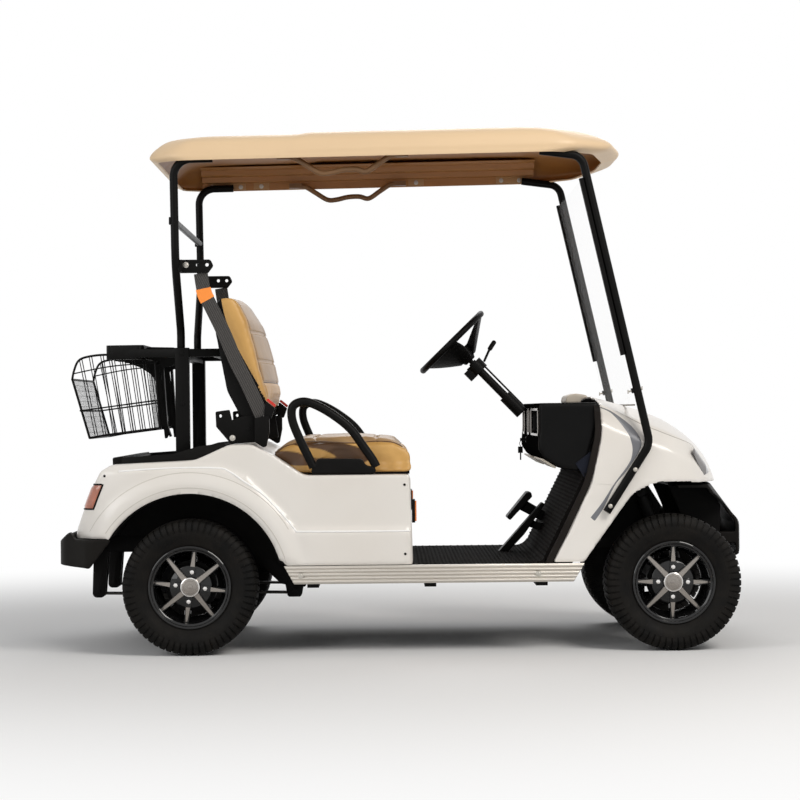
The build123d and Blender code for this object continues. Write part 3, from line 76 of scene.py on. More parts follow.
def at_rear(rows):
    """Rows of (x from the rear axle, z, corner radius) in millimetres, as metres."""
    return [(RX + row[0] * MM, *(value * MM for value in row[1:])) for row in rows]


def at_front(rows):
    """Rows of (x from the front axle, z, corner radius) in millimetres, as metres."""
    return [(FX + row[0] * MM, *(value * MM for value in row[1:])) for row in rows]


# ---------------------------------------------------------------- mesh tools
def rounded(rows, steps=6):
    """Points of a closed outline from rows of (u, v, corner radius)."""
    points = []
    count = len(rows)
    for i, row in enumerate(rows):
        corner = Vector(row[:2])
        radius = row[2] if len(row) > 2 else 0
        before = Vector(rows[i - 1][:2]) - corner
        after = Vector(rows[(i + 1) % count][:2]) - corner
        if radius == 0:
            points.append(corner)
            continue
        half = before.angle(after) / 2
        run = radius / math.tan(half)
        start = corner + before.normalized() * run
        end = corner + after.normalized() * run
        centre = corner + (before.normalized() + after.normalized()).normalized() * radius / math.sin(half)
        a, b = start - centre, end - centre
        turn = a.angle(b)
        for k in range(steps + 1):
            t = k / steps
            mix = (a * math.sin((1 - t) * turn) + b * math.sin(t * turn)) / max(math.sin(turn), 1e-9)
            points.append(centre + mix)
    return points


class Build:
    """Points and faces of one mesh, gathered from several forms."""

    def __init__(self):
        self.points = []
        self.faces = []

    def add(self, points, faces):
        start = len(self.points)
        self.points.extend(tuple(p) for p in points)
        self.faces.extend(tuple(start + i for i in face) for face in faces)

    def grid(self, rows, wrap=False, loop=False, caps=False):
        """Skin over equal rows of points. wrap closes each row, loop joins the last row to the first."""
        rows = [list(row) for row in rows]
        count, width = len(rows), len(rows[0])
        faces = []
        for i in range(count if loop else count - 1):
            for j in range(width if wrap else width - 1):
                a, b = i * width + j, i * width + (j + 1) % width
                c, d = (i + 1) % count * width + (j + 1) % width, (i + 1) % count * width + j
                faces.append((a, b, c, d))
        if caps:
            faces.append(tuple(reversed(range(width))))
            faces.append(tuple(range((count - 1) * width, count * width)))
        self.add([p for row in rows for p in row], faces)

    def tube(self, path, radius, sides=8, closed=False, squash=1.0):
        """Round bar along a path of points."""
        path = [Vector(p) for p in path]
        count = len(path)
        rings = []
        normal = None
        for i, point in enumerate(path):
            before = path[i - 1] if closed or i else point
            after = path[(i + 1) % count] if closed or i < count - 1 else point
            along = (after - before).normalized()
            if normal is None:
                normal = along.orthogonal().normalized()
            normal = (normal - along * normal.dot(along)).normalized()
            across = along.cross(normal)
            r = radius[i] if isinstance(radius, (list, tuple)) else radius
            ring = []
            for k in range(sides):
                turn = 2 * math.pi * k / sides
                ring.append(point + normal * math.cos(turn) * r + across * math.sin(turn) * r * squash)
            rings.append(ring)
        self.grid(rings, wrap=True, loop=closed, caps=not closed)

    def box(self, low, high, bevel=0.0):
        """Box between two corners, with its edges cut by a bevel."""
        mesh = bmesh.new()
        bmesh.ops.create_cube(mesh, size=1)
        low, high = Vector(low), Vector(high)
        for vert in mesh.verts:
            vert.co = (low + high) / 2 + Vector([vert.co[k] * abs(high[k] - low[k]) for k in range(3)])
        if bevel:
            bmesh.ops.bevel(mesh, geom=mesh.edges[:], offset=bevel, segments=2, affect="EDGES", profile=0.7)
        mesh.verts.index_update()
        self.add([vert.co.copy() for vert in mesh.verts],
                 [[vert.index for vert in face.verts] for face in mesh.faces])
        mesh.free()

    def slab(self, centre, half, bevel):
        """Box about a centre, from half its sizes in millimetres."""
        self.box(centre - Vector(half) * MM, centre + Vector(half) * MM, bevel)

    def lathe(self, profile, place, steps=48, caps=False):
        """Turns a profile of (radius, height) rows about the place's Z axis."""
        rows = []
        for radius, height in profile:
            rows.append([place @ Vector((radius * math.cos(2 * math.pi * k / steps),
                                         radius * math.sin(2 * math.pi * k / steps), height))
                         for k in range(steps)])
        self.grid(rows, wrap=True, caps=caps)

    def prism(self, rows, low, high, plane="XZ", steps=6):
        """Outline of (u, v, corner radius) rows, drawn out between two depths."""
        flat = rounded(rows, steps)
        place = {"XZ": lambda u, v, w: (u, w, v), "XY": lambda u, v, w: (u, v, w),
                 "YZ": lambda u, v, w: (w, u, v)}[plane]
        self.grid([[place(p.x, p.y, w) for p in flat] for w in (low, high)], wrap=True, caps=True)

    def bolt(self, at, out, radius=7 * MM, height=4 * MM, hexagon=False):
        """Bolt head that stands on a surface: domed, or a hexagon with a washer."""
        place = look_along(at, out)
        if hexagon:
            washer = [(radius * 1.45, -1 * MM), (radius * 1.45, 1 * MM), (radius * 1.1, 1.2 * MM)]
            self.lathe(washer, place, 18, True)
            self.lathe([(radius, 0), (radius, height), (radius * 0.86, height + 0.6 * MM)], place, 6, True)
            return
        dome = [(radius, -1 * MM), (radius, height * 0.35), (radius * 0.85, height * 0.75),
                (radius * 0.5, height * 0.97), (radius * 0.3, height), (radius * 0.28, height * 0.5)]
        self.lathe(dome, place, 14, True)

    def mesh(self, name):
        mesh = bpy.data.meshes.new(name)
        mesh.from_pydata(self.points, [], self.faces)
        tidy = bmesh.new()
        tidy.from_mesh(mesh)
        bmesh.ops.recalc_face_normals(tidy, faces=tidy.faces)
        tidy.to_mesh(mesh)
        tidy.free()
        return mesh


def look_along(at, out):
    """Place whose Z axis points along a direction."""
    turn = Vector(out).normalized().to_track_quat("Z", "Y")
    return Matrix.Translation(Vector(at)) @ turn.to_matrix().to_4x4()


def shade(obj, degrees=35):
    """Smooth shading, with edges sharper than an angle left crisp."""
    obj.data.shade_smooth()
    obj.data.set_sharp_from_angle(angle=math.radians(degrees))


def loose(build, name):
    """Object made from a build or a mesh, not dressed yet."""
    obj = bpy.data.objects.new(name, build.mesh(name) if isinstance(build, Build) else build)
    bpy.context.scene.collection.objects.link(obj)
    return obj


def put(build, name, slot, body="chassis", replaces=(), material=None):
    """Makes an object from a build, with its finish, riding on a body."""
    return dress(loose(build, name), slot, body, replaces, material=material)


def dress(obj, slot, body="chassis", replaces=(), degrees=35, material=None):
    """Gives an object its finish, body and the nodes that it stands for."""
    if obj.data.materials:
        obj.data.materials[0] = material or FINISH[slot]
    else:
        obj.data.materials.append(material or FINISH[slot])
    if degrees:
        shade(obj, degrees)
    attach(obj, body)
    if replaces:
        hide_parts(*replaces)
    return obj


def settle(obj):
    """Applies the object's modifiers."""
    bpy.context.view_layer.update()
    graph = bpy.context.evaluated_depsgraph_get()
    mesh = bpy.data.meshes.new_from_object(obj.evaluated_get(graph))
    obj.modifiers.clear()
    old, obj.data = obj.data, mesh
    bpy.data.meshes.remove(old)


def modify(obj, kind, **settings):
    """Adds a modifier of a kind, with its settings."""
    step = obj.modifiers.new(kind.lower(), kind)
    for key, value in settings.items():
        setattr(step, key, value)


def combine(target, tool, operation):
    """Boolean of a target with a tool, which is used up."""
    modify(target, "BOOLEAN", operation=operation, solver="EXACT", object=tool)
    settle(target)
    bpy.data.objects.remove(tool)


def remould(obj, voxel, rounds):
    """Soft moulded form: an even skin of small faces, with its edges eased."""
    modify(obj, "REMESH", mode="VOXEL", voxel_size=voxel)
    modify(obj, "SMOOTH", factor=0.5, iterations=rounds)
    settle(obj)


def keep_faces(obj, wanted):
    """Deletes the faces for which wanted(centre, normal) is false."""
    mesh = bmesh.new()
    mesh.from_mesh(obj.data)
    gone = [face for face in mesh.faces if not wanted(face.calc_center_median(), face.normal)]
    bmesh.ops.delete(mesh, geom=gone, context="FACES")
    mesh.to_mesh(obj.data)
    mesh.free()


def lighten(obj, share):
    """Keeps a share of an object's triangles."""
    modify(obj, "DECIMATE", ratio=share)
    settle(obj)


def thicken(obj, wall, inner=None):
    """Gives a skin its wall, on its inner side, and perhaps another material there, a darker one in painted
    shade.
    """
    if inner:
        obj.data.materials.append(None)
        obj.data.materials.append(inner)
    modify(obj, "SOLIDIFY", thickness=wall, offset=-1, use_even_offset=False, material_offset=1 if inner else 0)
    settle(obj)


def move_points(obj, rule):
    """Moves each point of a mesh by a rule that takes and gives an array of places."""
    mesh = obj.data
    places = np.zeros(len(mesh.vertices) * 3)
    mesh.vertices.foreach_get("co", places)
    places = rule(places.reshape(-1, 3))
    mesh.vertices.foreach_set("co", places.ravel())
    mesh.update()


def copy_of(node, name):
    """Loose copy of a CAD node's mesh, without its finish."""
    obj = loose(frame["nodes"][node].data.copy(), name)
    obj.data.materials.clear()
    return obj


def soften(node, voxel):
    """Moulded or cast copy of a CAD node with eased edges, which stands for it."""
    obj = copy_of(node, node + "_moulded")
    remould(obj, voxel, 3)
    return dress(obj, NODE_SLOT[node], NODE_BODY[node], (node,), degrees=50)


def ease(node):
    """Copy of a CAD node with its sharp edges rounded, which stands for it."""
    obj = copy_of(node, node + "_eased")
    flat = bmesh.new()
    flat.from_mesh(obj.data)
    bmesh.ops.remove_doubles(flat, verts=flat.verts, dist=0.00001)
    bmesh.ops.dissolve_limit(flat, angle_limit=math.radians(2), verts=flat.verts, edges=flat.edges)
    flat.to_mesh(obj.data)
    flat.free()
    modify(obj, "BEVEL", width=1.5 * MM, segments=2, limit_method="ANGLE", angle_limit=math.radians(32),
           use_clamp_overlap=True)
    settle(obj)
    return dress(obj, NODE_SLOT[node], NODE_BODY[node], (node,), degrees=50)


def tree_of(obj):
    """Search tree over an object's faces."""
    mesh = obj.data
    return BVHTree.FromPolygons([v.co for v in mesh.vertices], [face.vertices for face in mesh.polygons])


def cast_side(tree, x, z, side, lift=0.0):
    """Point on a skin, met from one side of the cart at a station and height."""
    spot, normal, _, _ = tree.ray_cast(Vector((x, side * 0.9, z)), Vector((0, -side, 0)))
    if spot is None:
        return None
    if normal.y * side < 0:
        normal = -normal
    return spot + normal * lift


def side_patch(tree, first, second, side):
    """Grid on a skin between two lines of (x, z), met from one side, with its rim laid down."""
    lift, across, along = 1.2 * MM, 7, 60
    rows = []
    first = curve_through([(x, 0, z) for x, z in first], 10)
    second = curve_through([(x, 0, z) for x, z in second], 10)
    for k in range(along + 1):
        a = first[round(k / along * (len(first) - 1))]
        b = second[round(k / along * (len(second) - 1))]
        row = []
        for share in np.linspace(0, 1, across):
            mix = a.lerp(b, share)
            rim = min(share, 1 - share, k / along * 3, (1 - k / along) * 3)
            raised = lift if rim > 0.01 else -1 * MM
            spot = cast_side(tree, mix.x, mix.z, side, raised)
            row.append(spot if spot is not None else (row[-1] if row else None))
        if all(spot is not None for spot in row):
            rows.append(row)
    patch = Build()
    patch.grid(rows)
    return patch


def side_line(tree, line, side, lift):
    """Points on a skin under a line of (x, z), met from one side."""
    spots = [cast_side(tree, p.x, p.z, side, lift) for p in curve_through([(x, 0, z) for x, z in line], 10)]
    return [spot for spot in spots if spot is not None]


def inside(polygon, x, z):
    """Whether places (x, z) lie inside a polygon of (x, z) corners."""
    within = np.zeros(np.shape(x), bool)
    for (xa, za), (xb, zb) in zip(polygon, polygon[1:] + polygon[:1]):
        crosses = (za > z) != (zb > z)
        with np.errstate(divide="ignore", invalid="ignore"):
            at = xa + (z - za) * (xb - xa) / (zb - za)
        within ^= crosses & (x < at)
    return within


def paint(obj, material, rule):
    """Gives another finish to the faces that a rule picks from arrays of their centres and normals."""
    obj.data.materials.append(material)
    index = len(obj.data.materials) - 1
    centres = np.array([face.center[:] for face in obj.data.polygons])
    normals = np.array([face.normal[:] for face in obj.data.polygons])
    for k in np.nonzero(rule(centres, normals))[0]:
        obj.data.polygons[int(k)].material_index = index


def line_distance(x, z, line):
    """Distance of places (x, z) from a line of (x, z) points."""
    best = np.full(np.shape(x), 9.0)
    for (xa, za), (xb, zb) in zip(line, line[1:]):
        dx, dz = xb - xa, zb - za
        t = np.clip(((x - xa) * dx + (z - za) * dz) / (dx * dx + dz * dz), 0, 1)
        best = np.minimum(best, np.hypot(x - xa - t * dx, z - za - t * dz))
    return best


def mm_line(rows, origin):
    """Line of (x, z) points in millimetres from an axle, as metres."""
    return [(origin + x * MM, z * MM) for x, z in rows]


NODE_SLOT = {part["node"]: part["material_slot"] for part in frame["record"]["subparts"]}
NODE_BODY = {name: body for body, names in frame["record"]["behaviour"]["bodies"].items() for name in names}


def step_up(value, low, high):
    """Smooth rise from 0 at low to 1 at high."""
    t = np.clip((value - low) / (high - low), 0, 1)
    return t * t * (3 - 2 * t)


def bump(value, centre, width):
    """Smooth hill of height 1."""
    return np.exp(-((value - centre) / width) ** 2)


def smooth_table(table, x):
    """Row at station x of a table whose first column is the station, on smooth curves."""
    table = np.asarray(table, float)
    stations = table[:, 0]
    slopes = np.gradient(table[:, 1:], stations, axis=0)
    i = int(np.clip(np.searchsorted(stations, x) - 1, 0, len(stations) - 2))
    h = stations[i + 1] - stations[i]
    t = (x - stations[i]) / h
    a, b = table[i, 1:], table[i + 1, 1:]
    return ((2 * t ** 3 - 3 * t ** 2 + 1) * a + (t ** 3 - 2 * t ** 2 + t) * h * slopes[i]
            + (3 * t ** 2 - 2 * t ** 3) * b + (t ** 3 - t ** 2) * h * slopes[i + 1])


def curve_through(points, steps=8, closed=False):
    """Points on a smooth curve through given points."""
    points = [Vector(p) for p in points]
    count = len(points)
    out = []
    for i in range(count if closed else count - 1):
        p0 = points[i - 1] if closed or i else points[i]
        p1, p2 = points[i], points[(i + 1) % count]
        p3 = points[(i + 2) % count] if closed or i + 2 < count else p2
        for k in range(steps):
            t = k / steps
            out.append(0.5 * (2 * p1 + (p2 - p0) * t + (2 * p0 - 5 * p1 + 4 * p2 - p3) * t * t
                              + (3 * p1 - p0 - 3 * p2 + p3) * t ** 3))
    if not closed:
        out.append(points[-1])
    return out


# ---------------------------------------------------------------- finishes
def shader(name, color, rough, **extra):
    """Material with its main shader's own values set. Returns the material, its node tree and that shader."""
    material = bpy.data.materials.new(name)
    material.use_nodes = True
    tree = material.node_tree
    main = tree.nodes["Principled BSDF"]
    main.inputs["Base Color"].default_value = (*color, 1)
    main.inputs["Roughness"].default_value = rough
    for key, value in extra.items():
        main.inputs[key.replace("_", " ")].default_value = value
    return material, tree, main


def node(tree, kind, inputs=None, **settings):
    """Adds a node, with its settings and its plain inputs."""
    made = tree.nodes.new(kind)
    for key, value in settings.items():
        setattr(made, key, value)
    for key, value in (inputs or {}).items():
        made.inputs[key].default_value = value
    return made


def noise(tree, scale, detail=4, rough=0.55, stretch=None):
    """Noise in the object's own space, perhaps stretched."""
    where = node(tree, "ShaderNodeTexCoord")
    place = node(tree, "ShaderNodeMapping", {"Scale": stretch or (1, 1, 1)})
    tree.links.new(where.outputs["Object"], place.inputs["Vector"])
    made = node(tree, "ShaderNodeTexNoise", {"Scale": scale, "Detail": detail, "Roughness": rough})
    tree.links.new(place.outputs["Vector"], made.inputs["Vector"])
    return made.outputs["Fac"]


def tint(tree, main, fac, low, high, at=(0.35, 0.65)):
    """Colours the shader between two colours by a factor."""
    ramp = node(tree, "ShaderNodeValToRGB")
    ramp.color_ramp.elements[0].position = at[0]
    ramp.color_ramp.elements[1].position = at[1]
    ramp.color_ramp.elements[0].color = (*low, 1)
    ramp.color_ramp.elements[1].color = (*high, 1)
    tree.links.new(fac, ramp.inputs["Fac"])
    tree.links.new(ramp.outputs["Color"], main.inputs["Base Color"])


def gloss(tree, main, fac, low, high):
    """Varies the shader's roughness by a factor."""
    span = node(tree, "ShaderNodeMapRange", {"To Min": low, "To Max": high})
    tree.links.new(fac, span.inputs["Value"])
    tree.links.new(span.outputs["Result"], main.inputs["Roughness"])


def relief(tree, main, height, depth, strength=1.0, under=None):
    """Adds bump from a height, over an earlier bump if there is one."""
    made = node(tree, "ShaderNodeBump", {"Distance": depth, "Strength": strength})
    tree.links.new(height, made.inputs["Height"])
    if under:
        tree.links.new(under.outputs["Normal"], made.inputs["Normal"])
    tree.links.new(made.outputs["Normal"], main.inputs["Normal"])
    return made


def grained(name, color, rough, grain=900, depth=0.00015, mottle=0.12, wear=0.08, **extra):
    """Moulded or painted surface: fine grain, faint mottling and uneven gloss."""
    if max(color) < 0.03:
        extra.setdefault("Specular_IOR_Level", 0.07)
    material, tree, main = shader(name, color, rough, **extra)
    cloud = noise(tree, 7, 3)
    low = tuple(c * (1 - mottle) for c in color)
    high = tuple(min(c * (1 + mottle), 1) for c in color)
    tint(tree, main, cloud, low, high)
    gloss(tree, main, noise(tree, 23, 5), max(rough - wear, 0.03), min(rough + wear, 1))
    relief(tree, main, noise(tree, grain, 2), depth)
    return material


def webbing():
    """Woven belt: ribs along the strap and fine cross threads."""
    material, tree, main = shader("belt_webbing", (0.035, 0.032, 0.03), 0.85)
    main.inputs["Sheen Weight"].default_value = 0.4
    where = node(tree, "ShaderNodeTexCoord")
    turn = node(tree, "ShaderNodeMapping", {"Rotation": (0, math.radians(-23), 0)})
    tree.links.new(where.outputs["Object"], turn.inputs["Vector"])
    ribs = node(tree, "ShaderNodeTexWave", {"Scale": 55, "Distortion": 0.3}, bands_direction="X")
    threads = node(tree, "ShaderNodeTexWave", {"Scale": 190, "Distortion": 0.5}, bands_direction="Z")
    for wave in (ribs, threads):
        tree.links.new(turn.outputs["Vector"], wave.inputs["Vector"])
    tint(tree, main, ribs.outputs["Fac"], (0.018, 0.017, 0.016), (0.075, 0.068, 0.062), (0.2, 0.9))
    first = relief(tree, main, threads.outputs["Fac"], 0.0003)
    relief(tree, main, ribs.outputs["Fac"], 0.0008, under=first)
    return material


def leather(name, color, shadow, mark=None):
    """Vinyl leather: pebbled grain, soft creases and a coat, with a second colour where the mark says."""
    material, tree, main = shader(name, color, 0.45, Coat_Weight=0.08, Coat_Roughness=0.3,
                                  Specular_IOR_Level=0.35)
    tint(tree, main, noise(tree, 5, 4), shadow, color, (0.25, 0.6))
    if mark:
        cover = node(tree, "ShaderNodeAttribute", attribute_name=mark[0])
        blend = node(tree, "ShaderNodeMixRGB", {"Color2": (*mark[1], 1)})
        tree.links.new(cover.outputs["Fac"], blend.inputs["Fac"])
        tree.links.new(main.inputs["Base Color"].links[0].from_socket, blend.inputs["Color1"])
        tree.links.new(blend.outputs["Color"], main.inputs["Base Color"])
    where = node(tree, "ShaderNodeTexCoord")
    cells = node(tree, "ShaderNodeTexVoronoi", {"Scale": 420}, feature="SMOOTH_F1")
    tree.links.new(where.outputs["Object"], cells.inputs["Vector"])
    first = relief(tree, main, cells.outputs["Distance"], 0.00035, 0.6)
    relief(tree, main, noise(tree, 30, 6), 0.0012, 0.5, under=first)
    gloss(tree, main, noise(tree, 40, 4), 0.3, 0.48)
    return material


def tyre_rubber():
    """Black rubber: mould rings on the walls, dull tread and a trace of dust."""
    material, tree, main = shader("tyre_rubber", (0.005, 0.0045, 0.004), 0.55, Specular_IOR_Level=0.12)
    tint(tree, main, noise(tree, 14, 5), (0.003, 0.0028, 0.0026), (0.008, 0.0068, 0.0055))
    where = node(tree, "ShaderNodeTexCoord")
    rings = node(tree, "ShaderNodeTexWave", {"Scale": 38, "Distortion": 0}, wave_type="RINGS",
                 rings_direction="Y")
    tree.links.new(where.outputs["Object"], rings.inputs["Vector"])
    first = relief(tree, main, rings.outputs["Fac"], 0.0004, 0.35)
    relief(tree, main, noise(tree, 500, 3), 0.0002, 0.6, under=first)
    gloss(tree, main, noise(tree, 30, 4), 0.5, 0.75)
    return material


def brushed(name, color, rough, stretch, metallic=1.0):
    """Drawn or turned metal with fine lines."""
    material, tree, main = shader(name, color, rough, Metallic=metallic)
    lines = noise(tree, 60, 6, 0.7, stretch)
    tint(tree, main, lines, tuple(c * 0.86 for c in color), color)
    gloss(tree, main, lines, rough - 0.08, rough + 0.1)
    relief(tree, main, lines, 0.0001, 0.4)
    return material


def clear_acrylic():
    """Clear windshield sheet with faint cleaning haze."""
    material, tree, main = shader("windshield_acrylic", (1, 1, 1), 0.02, Alpha=0.05, IOR=1.45,
                                  Transmission_Weight=0.0)
    gloss(tree, main, noise(tree, 5, 4), 0.01, 0.08)
    return material


def body_white():
    """White moulded body: soft gloss coat over faint orange peel."""
    material, tree, main = shader("body_white", (0.78, 0.745, 0.695), 0.30, Coat_Weight=0.35,
                                  Coat_Roughness=0.12)
    tint(tree, main, noise(tree, 1.6, 3), (0.755, 0.715, 0.66), (0.80, 0.77, 0.725))
    relief(tree, main, noise(tree, 55, 2), 0.0004, 0.25)
    gloss(tree, main, noise(tree, 9, 4), 0.26, 0.38)
    return material


def roof_beige(name, color):
    """Beige moulded roof: thick sheet with flow marks and a soft grain."""
    material, tree, main = shader(name, color, 0.42)
    tint(tree, main, noise(tree, 1.4, 4, stretch=(0.6, 2, 2)), tuple(c * 0.93 for c in color), color)
    first = relief(tree, main, noise(tree, 350, 2), 0.0002, 0.5)
    relief(tree, main, noise(tree, 9, 2), 0.002, 0.2, under=first)
    gloss(tree, main, noise(tree, 12, 4), 0.34, 0.52)
    return material


BLACK = (0.0055, 0.0052, 0.005)
GOLD = ((0.64, 0.37, 0.115), (0.49, 0.265, 0.07))       # vinyl, and its shadows
FINISH = {
    "black_steel": grained("black_steel", BLACK, 0.4, 600, 0.0002),
    "axle_steel": grained("axle_steel", (0.007, 0.0068, 0.0065), 0.5, 300, 0.0004, 0.3),
    "motor_paint": grained("motor_paint", (0.02, 0.02, 0.022), 0.45, 300, 0.0003),
    "spring_steel": grained("spring_steel", (0.035, 0.033, 0.03), 0.5, 200, 0.0004, 0.3, Metallic=0.7),
    "pan_plastic": grained("pan_plastic", BLACK, 0.6),
    "mat_rubber": grained("mat_rubber", (0.008, 0.0072, 0.0068), 0.85, 500, 0.0003, 0.25,
                          Specular_IOR_Level=0.03),
    "sill_aluminium": brushed("sill_aluminium", (0.66, 0.62, 0.56), 0.36, (0.05, 8, 8), 0.85),
    "body_white": body_white(),
    "deck_plastic": grained("deck_plastic", (0.008, 0.0075, 0.007), 0.55, 420, 0.0004, 0.2),
    "liner_plastic": grained("liner_plastic", (0.004, 0.0038, 0.0036), 0.6),
    "bumper_plastic": grained("bumper_plastic", (0.009, 0.008, 0.007), 0.5, 380, 0.0004, 0.18),
    "battery_case": grained("battery_case", (0.02, 0.02, 0.022), 0.5),
    "trim_rubber": grained("trim_rubber", (0.014, 0.0115, 0.010), 0.55, 500, 0.0003, 0.2),
    "dash_plastic": grained("dash_plastic", (0.005, 0.005, 0.005), 0.35, 500, 0.00006, 0.1, 0.05),
    "pod_plastic": grained("pod_plastic", (0.60, 0.54, 0.45), 0.45, 500, 0.0002),
    "black_plastic": grained("black_plastic", BLACK, 0.42),
    "roof_plastic": roof_beige("roof_plastic", (0.80, 0.585, 0.36)),
    "post_paint": grained("post_paint", (0.005, 0.0048, 0.0045), 0.35, 700, 0.00015),
    "rack_paint": grained("rack_paint", (0.005, 0.0048, 0.0045), 0.38, 700, 0.00015),
    "handle_brown": grained("handle_brown", (0.19, 0.095, 0.035), 0.5, 500, 0.0002, 0.15),
    "windshield_acrylic": clear_acrylic(),
    "channel_rubber": grained("channel_rubber", BLACK, 0.6),
    "seat_leather": leather("seat_leather", *GOLD),
    "basket_wire": grained("basket_wire", BLACK, 0.4, 400, 0.0002),
    "belt_webbing": webbing(),
    "headlamp_lens": grained("headlamp_lens", (0.10, 0.09, 0.085), 0.12, 160, 0.0004, 0.4, 0.05,
                             Coat_Weight=1.0),
    "tail_lens": grained("tail_lens", (0.55, 0.17, 0.09), 0.18, 160, 0.0006, 0.35, 0.05, Coat_Weight=1.0),
    "reflector_orange": grained("reflector_orange", (0.85, 0.20, 0.01), 0.2, 260, 0.0008, 0.25, 0.05,
                                Coat_Weight=0.8),
    "restraint_foam": grained("restraint_foam", (0.006, 0.0057, 0.0055), 0.36, 350, 0.0003, 0.15),
    "wheel_plastic": grained("wheel_plastic", BLACK, 0.42, 420, 0.0003),
    "tyre_rubber": tyre_rubber(),
    "rim_black": grained("rim_black", (0.006, 0.006, 0.0062), 0.12, 200, 0.00004, 0.2, 0.05, Coat_Weight=0.7),
}
# near-black inner side of the body skins: painted shade for their shadowed insides and arch walls
BODY_INNER_SHADE = grained("body_inner_painted_shade", (0.035, 0.033, 0.03), 0.7)
# paler than the body white: painted highlight along the rear body's crease
CREASE_PAINTED_HIGHLIGHT = grained("crease_painted_highlight", (0.95, 0.94, 0.925), 0.4, 300, 0.0001, 0.02, 0.0)
# greyed body white: painted shade along the lines of the arch lip
LIP_PAINTED_SHADE = grained("lip_painted_shade", (0.60, 0.565, 0.51), 0.45, 300, 0.0001, 0.05)
# grey: painted shade along the hood's crease
HOOD_CREASE_PAINTED_SHADE = grained("crease_painted_shade", (0.42, 0.39, 0.35), 0.5, 300, 0.0001, 0.05)
ROOF_PLATE = roof_beige("roof_plate", (0.42, 0.235, 0.10))
SILVER = brushed("machined_silver", (0.30, 0.275, 0.25), 0.24, (3, 3, 3))
CHROME = brushed("chrome_ring", (0.80, 0.78, 0.76), 0.12, (1, 1, 1))
ZINC = brushed("bolt_zinc", (0.52, 0.49, 0.44), 0.32, (1, 1, 1))
MATTE_BLACK = grained("matte_black", (0.004, 0.004, 0.004), 0.9, 500, 0.0001, Specular_IOR_Level=0.0)
STRIPE_BLUE = grained("stripe_blue", (0.16, 0.165, 0.18), 0.36, 300, 0.0001, 0.08)
SEAM_DARK = grained("seam_dark", (0.30, 0.28, 0.25), 0.6)
BEIGE_VINYL = leather("beige_vinyl", (0.43, 0.275, 0.135), (0.33, 0.20, 0.095))
# gold vinyl for the seat's sides, dark brown where their mark covers it: painted shadow and reflection
SHADED_SIDE_VINYL = leather("seat_side_vinyl_painted_shade", *GOLD, ("side_painted_shade", (0.10, 0.048, 0.02)))
BROWN_VINYL = leather("brown_vinyl", (0.13, 0.065, 0.028), (0.09, 0.045, 0.02))
THREAD = grained("seam_thread", (0.42, 0.27, 0.12), 0.8, 900, 0.0003)
ORANGE_TAG = grained("belt_tag", (0.95, 0.27, 0.04), 0.5, 300, 0.0001)
RED_BUTTON = grained("buckle_button", (0.62, 0.03, 0.015), 0.35, 300, 0.0001)
# darker, browner copy of the roof's beige for its underside and inner channels: painted shade
ROOF_UNDER_PAINTED_SHADE = roof_beige("roof_underside_painted_shade", (0.36, 0.15, 0.035))
NAVY = grained("navy_panel", (0.012, 0.014, 0.022), 0.35, 300, 0.0001)

for part in frame["record"]["subparts"]:
    for held in frame["nodes"][part["node"]].material_slots:
        held.material = FINISH[part["material_slot"]]


# ---------------------------------------------------------------- rear body skin
ARCH_R = 320 * MM
# columns: x from the rear axle, z, corner radius, in millimetres
BODY_TOP = [(761, 302, 0), (755, 610, 12), (393, 610, 60), (289, 680, 70), (215, 718, 46), (141, 718, 40),
            (20, 665, 70), (-262, 653, 14), (-302, 630, 20), (-330, 575, 60), (-392, 432, 20), (-400, 400, 0)]
BODY_FLOOR = [(-260, 400, 0), (250, 400, 0), (330, 302, 0)]
CREASE = [(762, 302, 0), (759, 418, 0), (366, 418, 24), (318, 484, 90), (205, 600, 130), (105, 638, 80),
          (-250, 632, 30), (-306, 620, 20), (-330, 575, 60), (-392, 432, 20), (-400, 400, 0)]
TAIL_R = 170 * MM
SKIN_DEPTH = 12 * MM
REAR_DEPTH = 21 * MM                           # more than the flare stands proud


def top_height(x):
    """Height of the rear body's upper line at station x."""
    line = sorted((RX + row[0] * MM, row[1] * MM) for row in BODY_TOP[1:9])
    return float(np.interp(x, [p[0] for p in line], [p[1] for p in line]))


def tail_x(z):
    """Station of the rear body's tail at height z."""
    line = sorted((row[1] * MM, RX + row[0] * MM) for row in BODY_TOP[7:])
    return float(np.interp(z, [p[0] for p in line], [p[1] for p in line]))


def plan_depth(x, y, z):
    """Depth of a point inside the rear body's plan outline."""
    tail = tail_x(z)
    front = RX + 0.758
    side = SIDE - abs(y)
    if x < tail + TAIL_R and side < TAIL_R:
        return TAIL_R - math.hypot(tail + TAIL_R - x, TAIL_R - side)
    return min(side, x - tail, front - x)


